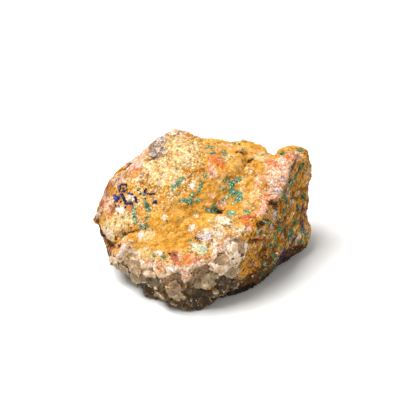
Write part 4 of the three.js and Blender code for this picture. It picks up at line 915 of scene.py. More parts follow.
def stroke_weight(ab, strokes, margin):
    """1 on the strokes, falling to 0 at `margin` beyond their half width."""
    best = np.zeros(len(ab))
    for width, path in strokes:
        reach = width + margin + 1
        near = np.all((ab > np.min(path, axis=0) - reach) & (ab < np.max(path, axis=0) + reach), axis=1)
        away = distance_to_path(ab[near], path)
        best[near] = np.maximum(best[near], smooth(width * 0.5 + margin, width * 0.5 - 0.15, away))
    return best


def grain_bumps(points):
    """Grains, finer grains and clumps of grains of the crust, each from 0 at its foot."""
    bent = points + 0.25 * noises(points, 0.8, (75, 77, 79))
    near, _, owner = scattered(bent, 0.88, 81)
    grains = dome(near, 0.48) * (0.4 + 1.0 * lattice(owner, 83))
    near, _, _ = scattered(bent, 0.62, 85)
    fine = dome(near, 0.36)
    near, _, owner = scattered(points + 0.5 * noise(points, 1.7, 87)[:, None], 2.9, 89)
    clumps = dome(near, 1.7) * (0.3 + 0.9 * lattice(owner, 91))
    return grains, fine, clumps


def furrows(points):
    """Ridges drawn out along the streaks of the valley."""
    streaks = along_streaks(points + 1.6 * noises(points, 4.5, (117, 118, 119)), STREAK)
    return 1 - 2 * np.abs(noise(streaks, 1.5, 93)) - np.abs(noise(streaks, 0.7, 95))


def steep_ridges(points):
    """Rough ridges along the steep grain of the brown right-hand face."""
    drawn = 1.2 * np.abs(noise(along_streaks(points, GRAIN), 1.9, 113))
    return 0.4 - drawn - 0.8 * np.abs(noise(points, 1.3, 115))


def crust_heights(points, normals, masks, exposed, settings):
    """Height of the crust above the solid, and its fine relief and its hollows from 0 to 1; the finish paints
    light and shade from the relief and shade into the hollows.
    """
    front = facing_show(normals)
    rough, calm = masks["granular"], masks["gold"]
    grain_height = settings.grain_height
    grains, fine, clumps = grain_bumps(points)
    fine_relief = (0.45 + 0.55 * rough) * (grain_height * grains + 0.5 * grain_height * fine)
    fine_relief += (0.15 + 0.85 * calm) * settings.furrow_depth * (furrows(points) - 0.5) * 0.8
    fine_relief -= 0.35 * smooth(0.34, 0.62, noise(points, 1.5, 97)) * (0.4 + 0.6 * rough)
    fine_relief += masks["brown"] * front * 0.32 * steep_ridges(points)
    swell = 0.28 * noise(points, 4.2, 71) + 0.20 * noise(points, 2.1, 73) * (1 - 0.5 * calm)
    height = swell + 0.34 * clumps * (0.25 + 0.75 * rough) + fine_relief
    ab = points[:, :2] + 0.35 * noises(points, 1.1, (99, 103))
    cut = np.zeros(len(points))
    for path, half_width, depth in CREVICES:
        cut = np.maximum(cut, depth * bell(distance_to_path(ab, path), half_width))
    for path, half_width, rise in RIMS:
        height += front * rise * bell(distance_to_path(ab, path), half_width)
    height -= front * 0.75 * cut
    cracks = smooth(0.055, 0.0, np.abs(noise(points, 6.5, 107) + 0.3 * noise(points, 2.0, 109)))
    height -= (1 - front) * 0.5 * cracks
    height += 0.25 * bell(exposed + 0.8, 0.7) - (settings.thickness + height) * smooth(-0.15, 0.45, exposed)
    relief = np.clip(0.42 + fine_relief / (2.2 * grain_height) + 0.4 * (clumps - 0.4) * rough, 0, 1)
    hollow = np.clip(front * cut / 0.8 + (1 - front) * 0.7 * cracks, 0, 1)
    return height, relief, hollow


def above_floor(points):
    """The points, with any below the floor lifted to it."""
    placed = from_layout(points)
    placed[:, 2] = np.maximum(placed[:, 2], 0.0)
    return to_layout(placed)


def concavity(points, normals, edges, reach):
    """How deep each point lies below its surroundings, in millimetres."""
    around = spread(points, edges, reach)
    return np.einsum("ij,ij->i", around - points, normals)


# ---- materials
def node(tree, kind, inputs=None, **settings):
    """Adds a shader node; each input is a plain value or another node's output."""
    made = tree.nodes.new(kind)
    for name, value in settings.items():
        setattr(made, name, value)
    for name, value in (inputs or {}).items():
        if isinstance(value, bpy.types.NodeSocket):
            tree.links.new(value, made.inputs[name])
        else:
            made.inputs[name].default_value = value
    return made


def math_node(tree, operation, first, second=0.0, third=0.0):
    """The result of a sum or product of two or three values."""
    return node(tree, "ShaderNodeMath", {0: first, 1: second, 2: third}, operation=operation).outputs[0]


def times(tree, first, second):
    """The product of two values."""
    return math_node(tree, "MULTIPLY", first, second)


def minus(tree, first, second):
    """The first value less the second."""
    return math_node(tree, "SUBTRACT", first, second)


def add_share(tree, value, more, share):
    """A value with a share of another added to it."""
    return math_node(tree, "MULTIPLY_ADD", more, share, value)


def blend(tree, first, second, share):
    """A pattern made of two others, with a share of the second."""
    return add_share(tree, first, minus(tree, second, first), share)


def mix(tree, factor, first, second, kind="MIX"):
    """A colour between two colours."""
    inputs = {0: factor, 6: first, 7: second}
    return node(tree, "ShaderNodeMix", inputs, data_type="RGBA", blend_type=kind).outputs[2]


def tinted(tree, colour, tint, share=1.0):
    """A colour multiplied by a tint, in full or in part."""
    return mix(tree, share, colour, tint, "MULTIPLY")


def ramp(tree, value, stops):
    """A colour that changes along the stops as the value goes from 0 to 1."""
    made = node(tree, "ShaderNodeValToRGB", {"Fac": value})
    elements = made.color_ramp.elements
    while len(elements) > 1:
        elements.remove(elements[-1])
    elements[0].position, elements[0].color = stops[0]
    for position, colour in stops[1:]:
        elements.new(position).color = colour
    return made.outputs["Color"]


def remap(tree, value, low, high, start=0.0, end=1.0):
    """A value from low to high moved softly to start to end."""
    inputs = {"Value": value, "From Min": low, "From Max": high, "To Min": start, "To Max": end}
    return node(tree, "ShaderNodeMapRange", inputs, interpolation_type="SMOOTHSTEP").outputs["Result"]


def speckle(tree, place, scale, detail=3.0, roughness=0.6):
    """Three unrelated cloudy patterns of one size and their mean."""
    inputs = {"Vector": place, "Scale": scale, "Detail": detail, "Roughness": roughness}
    made = node(tree, "ShaderNodeTexNoise", inputs, noise_dimensions="3D")
    parts = node(tree, "ShaderNodeSeparateColor", {0: made.outputs["Color"]}).outputs
    return parts[0], parts[1], parts[2], made.outputs[0]


def cells(tree, place, scale):
    """Scattered grains: the distance from each grain's middle and two random numbers for each grain."""
    made = node(tree, "ShaderNodeTexVoronoi", {"Vector": place, "Scale": scale})
    parts = node(tree, "ShaderNodeSeparateColor", {0: made.outputs["Color"]}).outputs
    return made.outputs["Distance"], parts[0], parts[1]


def attribute(tree, name):
    """A number stored on the mesh."""
    return node(tree, "ShaderNodeAttribute", attribute_name=name, attribute_type="GEOMETRY").outputs["Fac"]


def vector_node(tree, operation, first, second):
    """The node that works on two vectors."""
    return node(tree, "ShaderNodeVectorMath", {0: first, 1: second}, operation=operation)


def new_finish(name):
    """An empty material with its Principled shader, and the place on the stone in millimetres."""
    material = bpy.data.materials.new(name)
    material.use_nodes = True
    tree = material.node_tree
    place = node(tree, "ShaderNodeTexCoord").outputs["Object"]
    millimetres = vector_node(tree, "MULTIPLY", place, (1 / MM,) * 3).outputs[0]
    return material, tree, tree.nodes["Principled BSDF"], millimetres


def finish_with(tree, shader, colour, roughness, height, strength, depth, **values):
    """Joins a colour, a roughness and a bump `depth` metres deep to the shader; sets other inputs."""
    tree.links.new(colour, shader.inputs["Base Color"])
    tree.links.new(roughness, shader.inputs["Roughness"])
    bump = node(tree, "ShaderNodeBump", {"Height": height, "Strength": strength, "Distance": depth})
    tree.links.new(bump.outputs[0], shader.inputs["Normal"])
    for name, value in values.items():
        shader.inputs[name.replace("_", " ")].default_value = value


# A stain's patches break into specks at this pattern's values, and its full mask leaves no gaps
SPECKS_BEGIN, SPECKS_FULL = 0.34, 0.66
MASK_GAIN, MASK_START = 1.35, -1.02
COVER_SOFTNESS = 0.28


def coverage(tree, name, pattern):
    """How much a stain covers: all of it where its mask is full, scattered specks where it is weak."""
    broken = remap(tree, pattern, SPECKS_BEGIN, SPECKS_FULL)
    mask = math_node(tree, "MULTIPLY_ADD", attribute(tree, name), MASK_GAIN, MASK_START)
    return remap(tree, math_node(tree, "ADD", mask, broken), 0.0, COVER_SOFTNESS)


def warped(tree, place, scale, amount):
    """Places shifted by a pattern, so that grains aren't evenly round."""
    made = node(tree, "ShaderNodeTexNoise", {"Vector": place, "Scale": scale, "Detail": 2.0})
    centred = vector_node(tree, "SUBTRACT", made.outputs["Color"], (0.5, 0.5, 0.5)).outputs[0]
    shift = node(tree, "ShaderNodeVectorMath", {0: centred, "Scale": amount}, operation="SCALE").outputs[0]
    return vector_node(tree, "ADD", place, shift).outputs[0]


def streaked(tree, place, angle):
    """Places drawn out along streaks that cross the show face at an angle."""
    cosine, sine = math.cos(angle), math.sin(angle)
    rows = [(ACROSS * cosine + UP * sine) / STREAK_STRETCH, UP * cosine - ACROSS * sine, OUT]
    parts = [vector_node(tree, "DOT_PRODUCT", place, tuple(row)).outputs["Value"] for row in rows]
    return node(tree, "ShaderNodeCombineXYZ", dict(enumerate(parts))).outputs[0]


def crust_patterns(tree, place):
    """The cloudy, streaked and grainy patterns that the crust's colours and bumps follow."""
    bent = warped(tree, place, 1.6, 0.5)
    return {
        "broad": speckle(tree, place, 0.28, 4.0),
        "middle": speckle(tree, place, 1.1, 5.0, 0.65),
        "turned": speckle(tree, warped(tree, place, 0.7, 1.2), 0.9, 5.0, 0.7),
        "crisp": speckle(tree, place, 2.1, 4.0, 0.7),
        "fine": speckle(tree, place, 3.4, 4.0, 0.65),
        "streak": speckle(tree, streaked(tree, warped(tree, place, 0.3, 3.0), STREAK), 0.9, 5.0, 0.7),
        "steep": speckle(tree, streaked(tree, place, GRAIN), 1.1, 5.0, 0.7),
        "grains": cells(tree, bent, 1.6),
        "small grains": cells(tree, bent, 3.0),
    }


def crust_ground(tree, patterns, grain_mix, gold, cream):
    """Colours of the clean crust: mottled gold, cream grains with painted shade in the gaps between them, and
    drawn-out gold in the valley.
    """
    broad, middle, crisp, streak = (patterns[name] for name in ("broad", "middle", "crisp", "streak"))
    golden = ramp(tree, blend(tree, middle[0], crisp[0], 0.45), [
        (0.34, scaled(gold, 0.30)), (0.43, scaled(gold, 0.72)), (0.50, gold),
        (0.58, between(gold, cream, 0.5)), (0.66, between(gold, cream, 0.95))])
    rusty = tinted(tree, golden, linear(232, 150, 52), 0.6)
    golden = mix(tree, remap(tree, broad[0], 0.46, 0.62, 0.0, 0.7), golden, rusty)

    grainy = ramp(tree, grain_mix, [
        (0.12, scaled(gold, 0.50)), (0.32, scaled(gold, 0.90)), (0.50, between(gold, cream, 0.34)),
        (0.68, between(gold, cream, 0.66)), (0.86, between(cream, (1, 1, 1, 1), 0.35))])
    # Painted shade: darker in the gaps between the grains
    gap_shade = scaled(gold, 0.34)
    grainy = mix(tree, remap(tree, patterns["grains"][0], 0.44, 0.72, 0.0, 0.8), grainy, gap_shade)
    grainy = mix(tree, remap(tree, patterns["small grains"][0], 0.48, 0.78, 0.0, 0.55), grainy, gap_shade)
    colour = mix(tree, coverage(tree, "granular", blend(tree, middle[1], crisp[1], 0.4)), golden, grainy)

    drawn = ramp(tree, blend(tree, streak[0], crisp[2], 0.3), [
        (0.36, scaled(gold, 0.30)), (0.45, scaled(gold, 0.72)), (0.51, gold),
        (0.58, between(gold, cream, 0.4)), (0.66, between(gold, cream, 0.85))])
    wrinkle = math_node(tree, "ABSOLUTE", minus(tree, streak[1], 0.5))
    drawn = mix(tree, remap(tree, wrinkle, 0.0, 0.022, 0.75, 0.0), drawn, scaled(gold, 0.24))
    drawn = mix(tree, remap(tree, broad[1], 0.5, 0.62, 0.0, 0.5), drawn, scaled(gold, 0.62))
    valley = coverage(tree, "gold", blend(tree, middle[2], crisp[0], 0.4))
    return mix(tree, times(tree, valley, 0.86), colour, drawn)


def crust_stains(tree, colour, patterns, grain_mix, gold, cream, earth):
    """Lays every stain over the crust's own colours, from the lowest up."""
    crisp = patterns["crisp"]
    edges = {
        "middle": [blend(tree, patterns["middle"][k], crisp[k], 0.4) for k in range(3)],
        "turned": [blend(tree, patterns["turned"][k], crisp[(k + 1) % 3], 0.4) for k in range(3)],
        "fine": [blend(tree, crisp[k], patterns["fine"][k], 0.4) for k in range(3)],
    }
    steep, streak = patterns["steep"], patterns["streak"]
    speck = blend(tree, grain_mix, edges["fine"][0], 0.5)
    cloud = edges["turned"][0]
    drift = blend(tree, steep[0], crisp[0], 0.4)
    sweep = blend(tree, speck, steep[1], 0.5)
    fibre = blend(tree, edges["turned"][1], streak[2], 0.45)
    # Mask, pattern of the edges, pattern of the colours, strength and colours
    stains = [
        ("pale", ("middle", 0), grain_mix, 0.75, shades(
            (0.15, 206, 146, 62), (0.42, 242, 202, 126), (0.8, 252, 238, 206))),
        ("orange", ("middle", 1), cloud, 0.9, shades(
            (0.36, 198, 108, 26), (0.46, 240, 156, 48), (0.56, 250, 198, 100), (0.66, 253, 228, 172))),
        ("brown", ("turned", 1), drift, 0.94, [
            (0.39, scaled(earth, 0.07)), (0.45, scaled(earth, 0.34)), (0.495, scaled(earth, 0.92)),
            (0.54, between(earth, gold, 0.7)), (0.60, between(gold, cream, 0.6))]),
        ("rose", ("turned", 2), sweep, 0.92, shades(
            (0.34, 160, 78, 42), (0.43, 214, 136, 96), (0.53, 238, 188, 154), (0.63, 252, 240, 230))),
        ("brick", ("middle", 0), fibre, 0.92, shades(
            (0.38, 134, 48, 16), (0.45, 202, 86, 32), (0.52, 230, 130, 64), (0.575, 244, 182, 134),
            (0.64, 252, 224, 196))),
        ("maroon", ("turned", 0), edges["middle"][1], 0.85, shades(
            (0.34, 92, 34, 18), (0.5, 152, 74, 50), (0.66, 208, 138, 108))),
        ("ash", ("turned", 1), speck, 0.9, shades(
            (0.3, 74, 56, 38), (0.44, 138, 114, 92), (0.56, 182, 160, 142), (0.7, 236, 222, 212))),
        ("mint", ("turned", 2), speck, 0.85, shades(
            (0.3, 206, 190, 130), (0.42, 214, 216, 170), (0.54, 196, 226, 200), (0.68, 240, 243, 226))),
        ("lilac", ("middle", 0), speck, 0.9, shades(
            (0.3, 150, 122, 118), (0.45, 208, 188, 188), (0.65, 244, 234, 238))),
        ("umber", ("middle", 1), cloud, 0.95, shades(
            (0.34, 26, 13, 4), (0.48, 64, 36, 12), (0.6, 116, 74, 30), (0.7, 170, 122, 62))),
        ("white", ("fine", 0), speck, 0.95, shades(
            (0.28, 214, 166, 116), (0.42, 238, 214, 186), (0.55, 248, 236, 224), (0.7, 254, 250, 246))),
        ("verdigris", ("fine", 1), cloud, 0.75, shades(
            (0.38, 6, 66, 38), (0.5, 30, 110, 72), (0.62, 84, 158, 116), (0.74, 176, 214, 184))),
        ("azure", ("fine", 2), cloud, 0.85, shades(
            (0.36, 10, 8, 52), (0.5, 40, 36, 112), (0.68, 118, 124, 190))),
        ("soot", ("middle", 2), cloud, 0.95, shades((0.4, 10, 6, 2), (0.62, 38, 24, 10))),
    ]
    for name, (kind, number), chooser, strength, stops in stains:
        cover = times(tree, coverage(tree, name, edges[kind][number]), strength)
        colour = mix(tree, cover, colour, ramp(tree, chooser, stops))
    return colour


def crust_finish(settings):
    """Limonite crust: goldenrod to cream grains, stained rose, rust, brown, mint and black, with painted
    light and shade.
    """
    material, tree, shader, place = new_finish("ochre_crust")
    gold, cream, earth = colours_of(settings, "gold", "cream", "earth")
    patterns = crust_patterns(tree, place)
    crisp, fine, small_gap = patterns["crisp"], patterns["fine"], patterns["small grains"][0]
    grain_mix = blend(tree, patterns["grains"][1], patterns["small grains"][1], 0.5)
    colour = crust_ground(tree, patterns, grain_mix, gold, cream)
    colour = crust_stains(tree, colour, patterns, grain_mix, gold, cream, earth)

    # Painted light and shade: lighter on the tops of the grains and darker between them, by the relief
    relief_light_and_shade = remap(tree, attribute(tree, "relief"), 0.05, 0.70, 0.46, 1.16)
    shade = node(tree, "ShaderNodeCombineColor", {0: relief_light_and_shade, 1: relief_light_and_shade, 2: relief_light_and_shade}).outputs[0]
    colour = tinted(tree, colour, shade)
    # Painted shade: darker in the hollows, cracks and crevices
    deep = times(tree, attribute(tree, "hollow"), 0.62)
    colour = mix(tree, deep, colour, tinted(tree, colour, linear(140, 96, 44)))
    # Dark specks paint the shade of small pits; pale specks are pale grains with painted highlights
    colour = mix(tree, remap(tree, fine[2], 0.61, 0.70, 0.0, 0.6), colour, linear(104, 58, 16))
    colour = mix(tree, remap(tree, fine[0], 0.62, 0.71, 0.0, 0.6), colour, linear(253, 238, 208))
    rough = remap(tree, fine[1], 0.3, 0.7, 0.58, 0.95)
    height = add_share(tree, add_share(tree, fine[3], small_gap, -0.7), crisp[3], 0.9)
    finish_with(tree, shader, colour, rough, height, 1.0, 0.0004, Specular_IOR_Level=0.15)
    return material


def quartz_finish(settings):
    """Smoky quartz: sugary dark olive to pinkish lumps with edges paled by painted light, milky veils, and
    painted shade in the seams.
    """
    material, tree, shader, place = new_finish("smoky_quartz")
    dark, pale = colours_of(settings, "dark", "pale")
    veil = speckle(tree, warped(tree, place, 0.35, 2.0), 0.45, 4.0, 0.6)
    sugar = speckle(tree, place, 2.0, 5.0, 0.75)
    middle = speckle(tree, place, 1.0, 4.0, 0.65)
    facet, facet_shade, _ = cells(tree, warped(tree, place, 0.6, 0.8), 0.55)
    glint_gap, glint_shade, glint_tint = cells(tree, warped(tree, place, 1.5, 0.4), 1.7)

    tone = attribute(tree, "tone")
    for pattern, amount in ((facet_shade, 0.10), (veil[0], 0.7), (sugar[0], 0.26)):
        tone = add_share(tree, tone, minus(tree, pattern, 0.5), amount)
    # Painted light: paler on the edges of the lumps
    tone = add_share(tree, tone, attribute(tree, "edge"), 0.16)
    olive = ramp(tree, tone, [
        (0.0, scaled(dark, 0.18)), (0.2, dark), (0.42, between(dark, pale, 0.2)),
        (0.62, between(dark, pale, 0.48)), (0.82, pale), (1.0, linear(246, 238, 226))])
    colour = mix(tree, attribute(tree, "redness"), olive, tinted(tree, olive, linear(246, 218, 208)))
    milky = remap(tree, middle[1], 0.54, 0.70, 0.0, 0.3)
    colour = mix(tree, milky, colour, mix(tree, 0.4, colour, linear(222, 200, 164)))
    # Painted shade: dark in the seams between the lumps
    seam = times(tree, coverage(tree, "seam", middle[0]), 0.7)
    colour = mix(tree, seam, colour, linear(44, 28, 8))

    shining = times(tree, remap(tree, glint_shade, 0.54, 0.62), remap(tree, glint_gap, 0.44, 0.22))
    shining = times(tree, times(tree, shining, attribute(tree, "glitter")), 0.85)
    colour = mix(tree, shining, colour, ramp(tree, glint_tint, shades(
        (0.2, 150, 128, 92), (0.6, 212, 200, 184), (1.0, 250, 246, 242))))
    crumbs = coverage(tree, "dusting", add_share(tree, times(tree, middle[2], 0.5), sugar[0], 0.5))
    colour = mix(tree, times(tree, crumbs, 0.85), colour, ramp(tree, sugar[2], shades(
        (0.34, 170, 100, 36), (0.44, 222, 162, 88), (0.54, 246, 212, 166), (0.66, 252, 240, 228))))

    dull = remap(tree, middle[2], 0.35, 0.7, settings.roughness - 0.08, settings.roughness + 0.25)
    height = add_share(tree, times(tree, middle[3], 0.5), facet, 0.5)
    height = add_share(tree, add_share(tree, height, sugar[3], 0.4), glint_gap, -0.3)
    finish_with(
        tree, shader, colour, dull, height, 0.8, 0.0003, IOR=1.54, Specular_IOR_Level=0.14,
        Transmission_Weight=settings.clearness, Subsurface_Weight=0.3, Subsurface_Radius=(1.0, 0.85, 0.65),
        Subsurface_Scale=0.0010)
    return material


def growth_finish(name, dark, main, pale, levels, depth, lightness):
    """Crystals whose mottled shade, painted paler at their tops and darker at their feet, runs from a
    deepened dark colour through the main one to the pale.
    """
    colours = [scaled(dark, depth), dark, main, between(main, pale, lightness), pale]
    material, tree, shader, place = new_finish(name)
    middle = speckle(tree, place, 1.8)
    fine = speckle(tree, place, 4.0, roughness=0.7)
    wander = math_node(tree, "ADD", minus(tree, middle[0], 0.5), minus(tree, fine[1], 0.5))
    shade = math_node(tree, "ADD", wander, attribute(tree, "shade"))
    colour = ramp(tree, shade, list(zip(levels, colours)))
    # Pale specks as painted sparkle highlights
    colour = mix(tree, remap(tree, fine[0], 0.6, 0.72, 0.0, 0.6), colour, pale)
    rough = remap(tree, fine[1], 0.3, 0.7, 0.4, 0.7)
    finish_with(tree, shader, colour, rough, fine[3], 0.6, 0.0002, Specular_IOR_Level=0.25)
    return material


# ---- operators
def prepared_stone(step, smoothings):
    """The resampled stone: points, softened normals, faces, edges and distances inside the bare quartz."""
    points, normals, faces = resampled_stone(step)
    edges = edges_of(faces)
    normals = softened(normals, edges, smoothings)
    return points, normals, faces, edges, quartz_exposed(points, normals)


class SPECIMEN_OT_crust(bpy.types.Operator):
    """Makes the ochre crust with its grains, furrows, cracks and stains"""

    bl_idname = "specimen.crust"
    bl_label = "Add the crust"

    def execute(self, context):
        settings = context.scene.specimen_crust
        points, normals, faces, edges, exposed = prepared_stone(settings.mesh_step, 3)
        masks = crust_masks(points, normals, exposed)
        height, relief, hollow = crust_heights(points, normals, masks, exposed, settings)
        masks["relief"] = relief
        # Painted shade: the hollow mask darkens the crust in its cracks, crevices and concave places
        masks["hollow"] = np.clip(hollow + smooth(0.15, 0.6, concavity(points, normals, edges, 8)), 0, 1)
        masks["keep"] = facing_show(normals) * smooth(1.2, 0.4, exposed)
        mesh = build_mesh("crust", above_floor(points + height[:, None] * normals), faces, masks)
        mesh = thinned(mesh, settings.face_limit)
        mesh.shade_smooth()
        add_piece("crust", mesh, crust_finish(settings))
        return {"FINISHED"}


# Steps in which the points' weights are grouped, and how strongly they keep a place from thinning
KEEP_LEVELS = 10
KEEP_FACTOR = 20.0


def thinned(mesh, most):
    """The mesh with its hidden and covered parts made of fewer triangles."""
    holder = linked("thinning", mesh)
    weights = np.empty(len(mesh.vertices), dtype=np.float32)
    mesh.attributes["keep"].data.foreach_get("value", weights)
    group = holder.vertex_groups.new(name="keep")
    for level in range(1, KEEP_LEVELS + 1):
        chosen = np.nonzero(np.round(weights * KEEP_LEVELS) == level)[0]
        group.add(chosen.tolist(), level / KEEP_LEVELS, "REPLACE")
    decimate = holder.modifiers.new("thin", "DECIMATE")
    decimate.ratio = min(1.0, most / (2 * len(mesh.polygons)))
    decimate.vertex_group = "keep"
    decimate.vertex_group_factor = KEEP_FACTOR
    apply_modifiers(holder)
    made = holder.data
    bpy.data.objects.remove(holder)
    made.attributes.remove(made.attributes["keep"])
    return made


# Depth of the quartz under the crust, how far it reaches in under it, and how thick its chunk is
QUARTZ_SINK = 1.2
QUARTZ_OVERLAP = 1.5
SLAB_DEPTH = 2.2
SHARP_ANGLE = math.radians(46)
# The second, finer set of facets as a share of the first
FINE_FACETS = 0.45
# A lump is a hexagon: its sides' leanings, and how much wider than given it grows
HEXAGON = (0.5, 0.866)
LUMP_GROWTH = 0.03
# Tone and redness between the lumps
PLAIN_TONE = 0.3


class SPECIMEN_OT_quartz(bpy.types.Operator):
    """Makes the smoky quartz that shows where the crust is broken away"""

    bl_idname = "specimen.quartz"
    bl_label = "Add the quartz"

    def execute(self, context):
        settings = context.scene.specimen_quartz
        points, normals, faces, edges, exposed = prepared_stone(settings.mesh_step, 2)
        front = facing_show(normals)
        tone, redness, border = quartz_tones(points, front)
        height = quartz_heights(points, front, tone, border, settings)
        height -= (QUARTZ_SINK + height) * smooth(0.0, -0.7, exposed)
        placed = points + height[:, None] * normals
        hollow = concavity(placed, normals, edges, 4)
        ab = points[:, :2]
        below_tip = smooth(24, 18, points[:, 1])
        dusting = smooth(1.3, -0.2, exposed) * np.clip(0.55 + 0.9 * noise(points, 2.6, 141), 0, 1) * below_tip
        values = {
            "tone": tone,
            "redness": redness,
            # The edge and seam values paint light on the lumps' edges and shade in their seams
            "edge": smooth(0.02, 0.12, -hollow),
            "seam": smooth(0.05, 0.20, hollow) * below_tip,
            "dusting": np.maximum(dusting, front * patch_weight(ab, QUARTZ_DIRT)),
            "glitter": front * patch_weight(ab, GLITTER) + 0.4 * (1 - front),
        }
        kept = np.all(exposed[faces] > -QUARTZ_OVERLAP, axis=1)
        mesh = slab("quartz", placed, normals, faces[kept], values)
        mesh.shade_smooth()
        mesh.set_sharp_from_angle(angle=SHARP_ANGLE)
        add_piece("quartz", mesh, quartz_finish(settings))
        return {"FINISHED"}


def quartz_heights(points, front, tone, border, settings):
    """Heights of the quartz: facets of two sizes, a fine grain, and steps and seams between its lumps."""
    bent = points + 0.5 * noise(points, 2.2, 121)[:, None]
    tilt = settings.facet_tilt * (2 - front)
    height = -0.25 + broken_facets(bent, settings.facet, tilt, 123)
    height += broken_facets(bent, settings.facet * FINE_FACETS, tilt * FINE_FACETS, 131)
    height += 0.04 * noise(points, 0.8, 137) + 0.02 * noise(points, 0.55, 139)
    height += front * (settings.lump_step * (tone - 0.4) - 0.08 * bell(border, 0.08))
    return height


def broken_facets(points, size, tilt, seed):
    """Heights of a fracture: small planes, each tilted its own way, with steps between them."""
    _, offset, owner = scattered(points, size, seed)
    slope = np.stack([lattice(owner, seed + 7 * k) - 0.5 for k in range(3)], axis=1)
    slope /= np.linalg.norm(slope, axis=1)[:, None] + 1e-6
    return tilt * np.einsum("ij,ij->i", offset, slope)


def quartz_tones(points, front):
    """Lightness and redness of the quartz, from 0 to 1, and the distance from the border of its lump."""
    ab = points[:, :2] + 0.35 * noises(points, 1.6, (143, 147))
    reach = np.full(len(points), FAR)
    second = reach.copy()
    tone = np.full(len(points), PLAIN_TONE)
    redness = tone.copy()
    for a, b, half_a, half_b, lump_tone, lump_redness, *turn in QUARTZ_TONES:
        along, across = np.abs(ellipse_shares(ab, a, b, half_a, half_b, *turn))
        away = np.maximum(along, HEXAGON[0] * along + HEXAGON[1] * across) - LUMP_GROWTH * min(half_a, half_b)
        nearer = away < reach
        second = np.where(nearer, reach, np.minimum(second, away))
        reach = np.where(nearer, away, reach)
        tone = np.where(nearer, lump_tone, tone)
        redness = np.where(nearer, lump_redness, redness)
    hidden_tone, hidden_redness = hidden_quartz_tones(points)
    tone = front * tone + (1 - front) * hidden_tone
    return tone, front * redness + (1 - front) * hidden_redness, second - reach


def hidden_quartz_tones(points):
    """Lightness and redness of the quartz on the sides that face away, darker toward the floor."""
    height = height_over_floor(points)
    tone = np.clip(0.38 + 0.6 * layers(points, 8, 151, 3) + 0.012 * (height - 8), 0.1, 0.95)
    _, _, owner = scattered(points + 0.6 * noise(points, 2.4, 159)[:, None], 4.4, 153)
    tone = np.clip(tone + 0.4 * (lattice(owner, 155) - 0.5), 0.1, 0.95)
    return tone, np.clip(0.4 + 0.8 * noise(points, 9, 157), 0, 1)


def slab(name, points, normals, faces, values):
    """A closed chunk: the faces as its top and a copy of them deeper in the stone as its bottom."""
    used, inverse = np.unique(faces, return_inverse=True)
    faces = inverse.reshape(faces.shape)
    count = len(used)
    top = above_floor(points[used])
    bottom = above_floor(points[used] - SLAB_DEPTH * normals[used])
    sides = face_sides(faces)
    ways = sides[:, 0] * count + sides[:, 1]
    ways_back = sides[:, 1] * count + sides[:, 0]
    rim = sides[~np.isin(ways, ways_back)]
    walls = np.stack([rim[:, 1], rim[:, 0], rim[:, 0] + count, rim[:, 1] + count], axis=1)
    whole = np.concatenate([faces, faces[:, ::-1] + count, walls])
    both = {key: np.concatenate([v[used], v[used]]) for key, v in values.items()}
    return build_mesh(name, np.concatenate([top, bottom]), whole, both)


# Rays that look for the crust start this far out, in millimetres
RAY_START = 90
# Wandering paths: fewest and most steps, bend and length of a step, and crystals and spread at each
PATH_STEPS = (4, 16)
PATH_BEND = 0.5
PATH_STEP = 0.016
PATH_CRYSTALS = 3
PATH_SPREAD = 0.012
# A crystal turns at random by up to this much, and its middle stands this share of its size above the crust
FULL_TURN = 6.28
STAND = 0.12
# How much paler a crystal is painted at its top, and darker at its foot, as painted light and shade, and how
# far a blade leans
PAINTED_TOP_LIGHT = 0.26
BLADE_LEAN = 0.6


def stroke_seeds(strokes, rng, tree):
    """Crystals along strokes on the show face: place, normal, shade and size."""
    spots = []
    for shade, group in strokes:
        for width, path in group:
            spots += stroke_spots(width, path, shade, rng)
    seeds = []
    for a, b, shade, scale in spots:
        hit, normal, _, _ = tree.ray_cast(Vector((a, b, RAY_START)), Vector((0, 0, -1)))
        if hit is not None:
            seeds.append((hit, normal, shade, scale))
    return seeds


def wandering_seeds(starts, rng, tree):
    """Crystals along wandering paths on the other sides: place, normal, shade and size."""
    seeds = []
    for start, shade in starts:
        heading = Vector(rng.normal(size=3)).normalized()
        direction = Vector(start)
        for _ in range(int(rng.integers(*PATH_STEPS))):
            heading = (heading + Vector(rng.normal(size=3)) * PATH_BEND).normalized()
            direction = (direction + heading * PATH_STEP).normalized()
            for _ in range(PATH_CRYSTALS):
                aim = (direction + Vector(rng.normal(size=3)) * PATH_SPREAD).normalized()
                hit, normal, _, _ = tree.ray_cast(aim * RAY_START, -aim)
                if hit is not None and normal.z < -0.1:
                    seeds.append((hit, normal, shade + rng.normal() * 0.12, rng.uniform(0.6, 1.2)))
    return seeds


def grow(name, strokes, starts, size, crystal, lean, rng):
    """Crystals along strokes on the show face and along wandering paths on the other sides."""
    tree = crust_surface()
    seeds = stroke_seeds(strokes, rng, tree)
    seeds += wandering_seeds(starts, rng, tree)
    points, faces, tones = [], [], []
    for hit, normal, shade, scale in seeds:
        body, sides = crystal(size * scale, rng)
        turn = normal.to_track_quat("Z", "Y").to_matrix() @ Matrix.Rotation(rng.uniform(0, FULL_TURN), 3, "Z")
        if lean:
            turn = turn @ Matrix.Rotation(rng.normal() * lean, 3, "X")
        centre = np.array(hit) + np.array(normal) * size * scale * STAND
        faces.append(sides + len(points) * len(body))
        points.append(above_floor(body @ np.array(turn).T + centre))
        # Painted light and shade: each crystal is paler toward its top and darker toward its foot
        tones.append(shade + PAINTED_TOP_LIGHT * body[:, 2] / (size * scale))
    return build_mesh(name, np.concatenate(points), np.concatenate(faces), {"shade": np.concatenate(tones)})


# Crystals for each square millimetre of a stroke, and how strokes change beyond the right-hand ridge
CROWDING = 10.0
RIDGE = 22
RIGHT_CROWDING = 6.5
RIGHT_NARROWING = 0.75
SHORTEST_STRETCH = 0.35


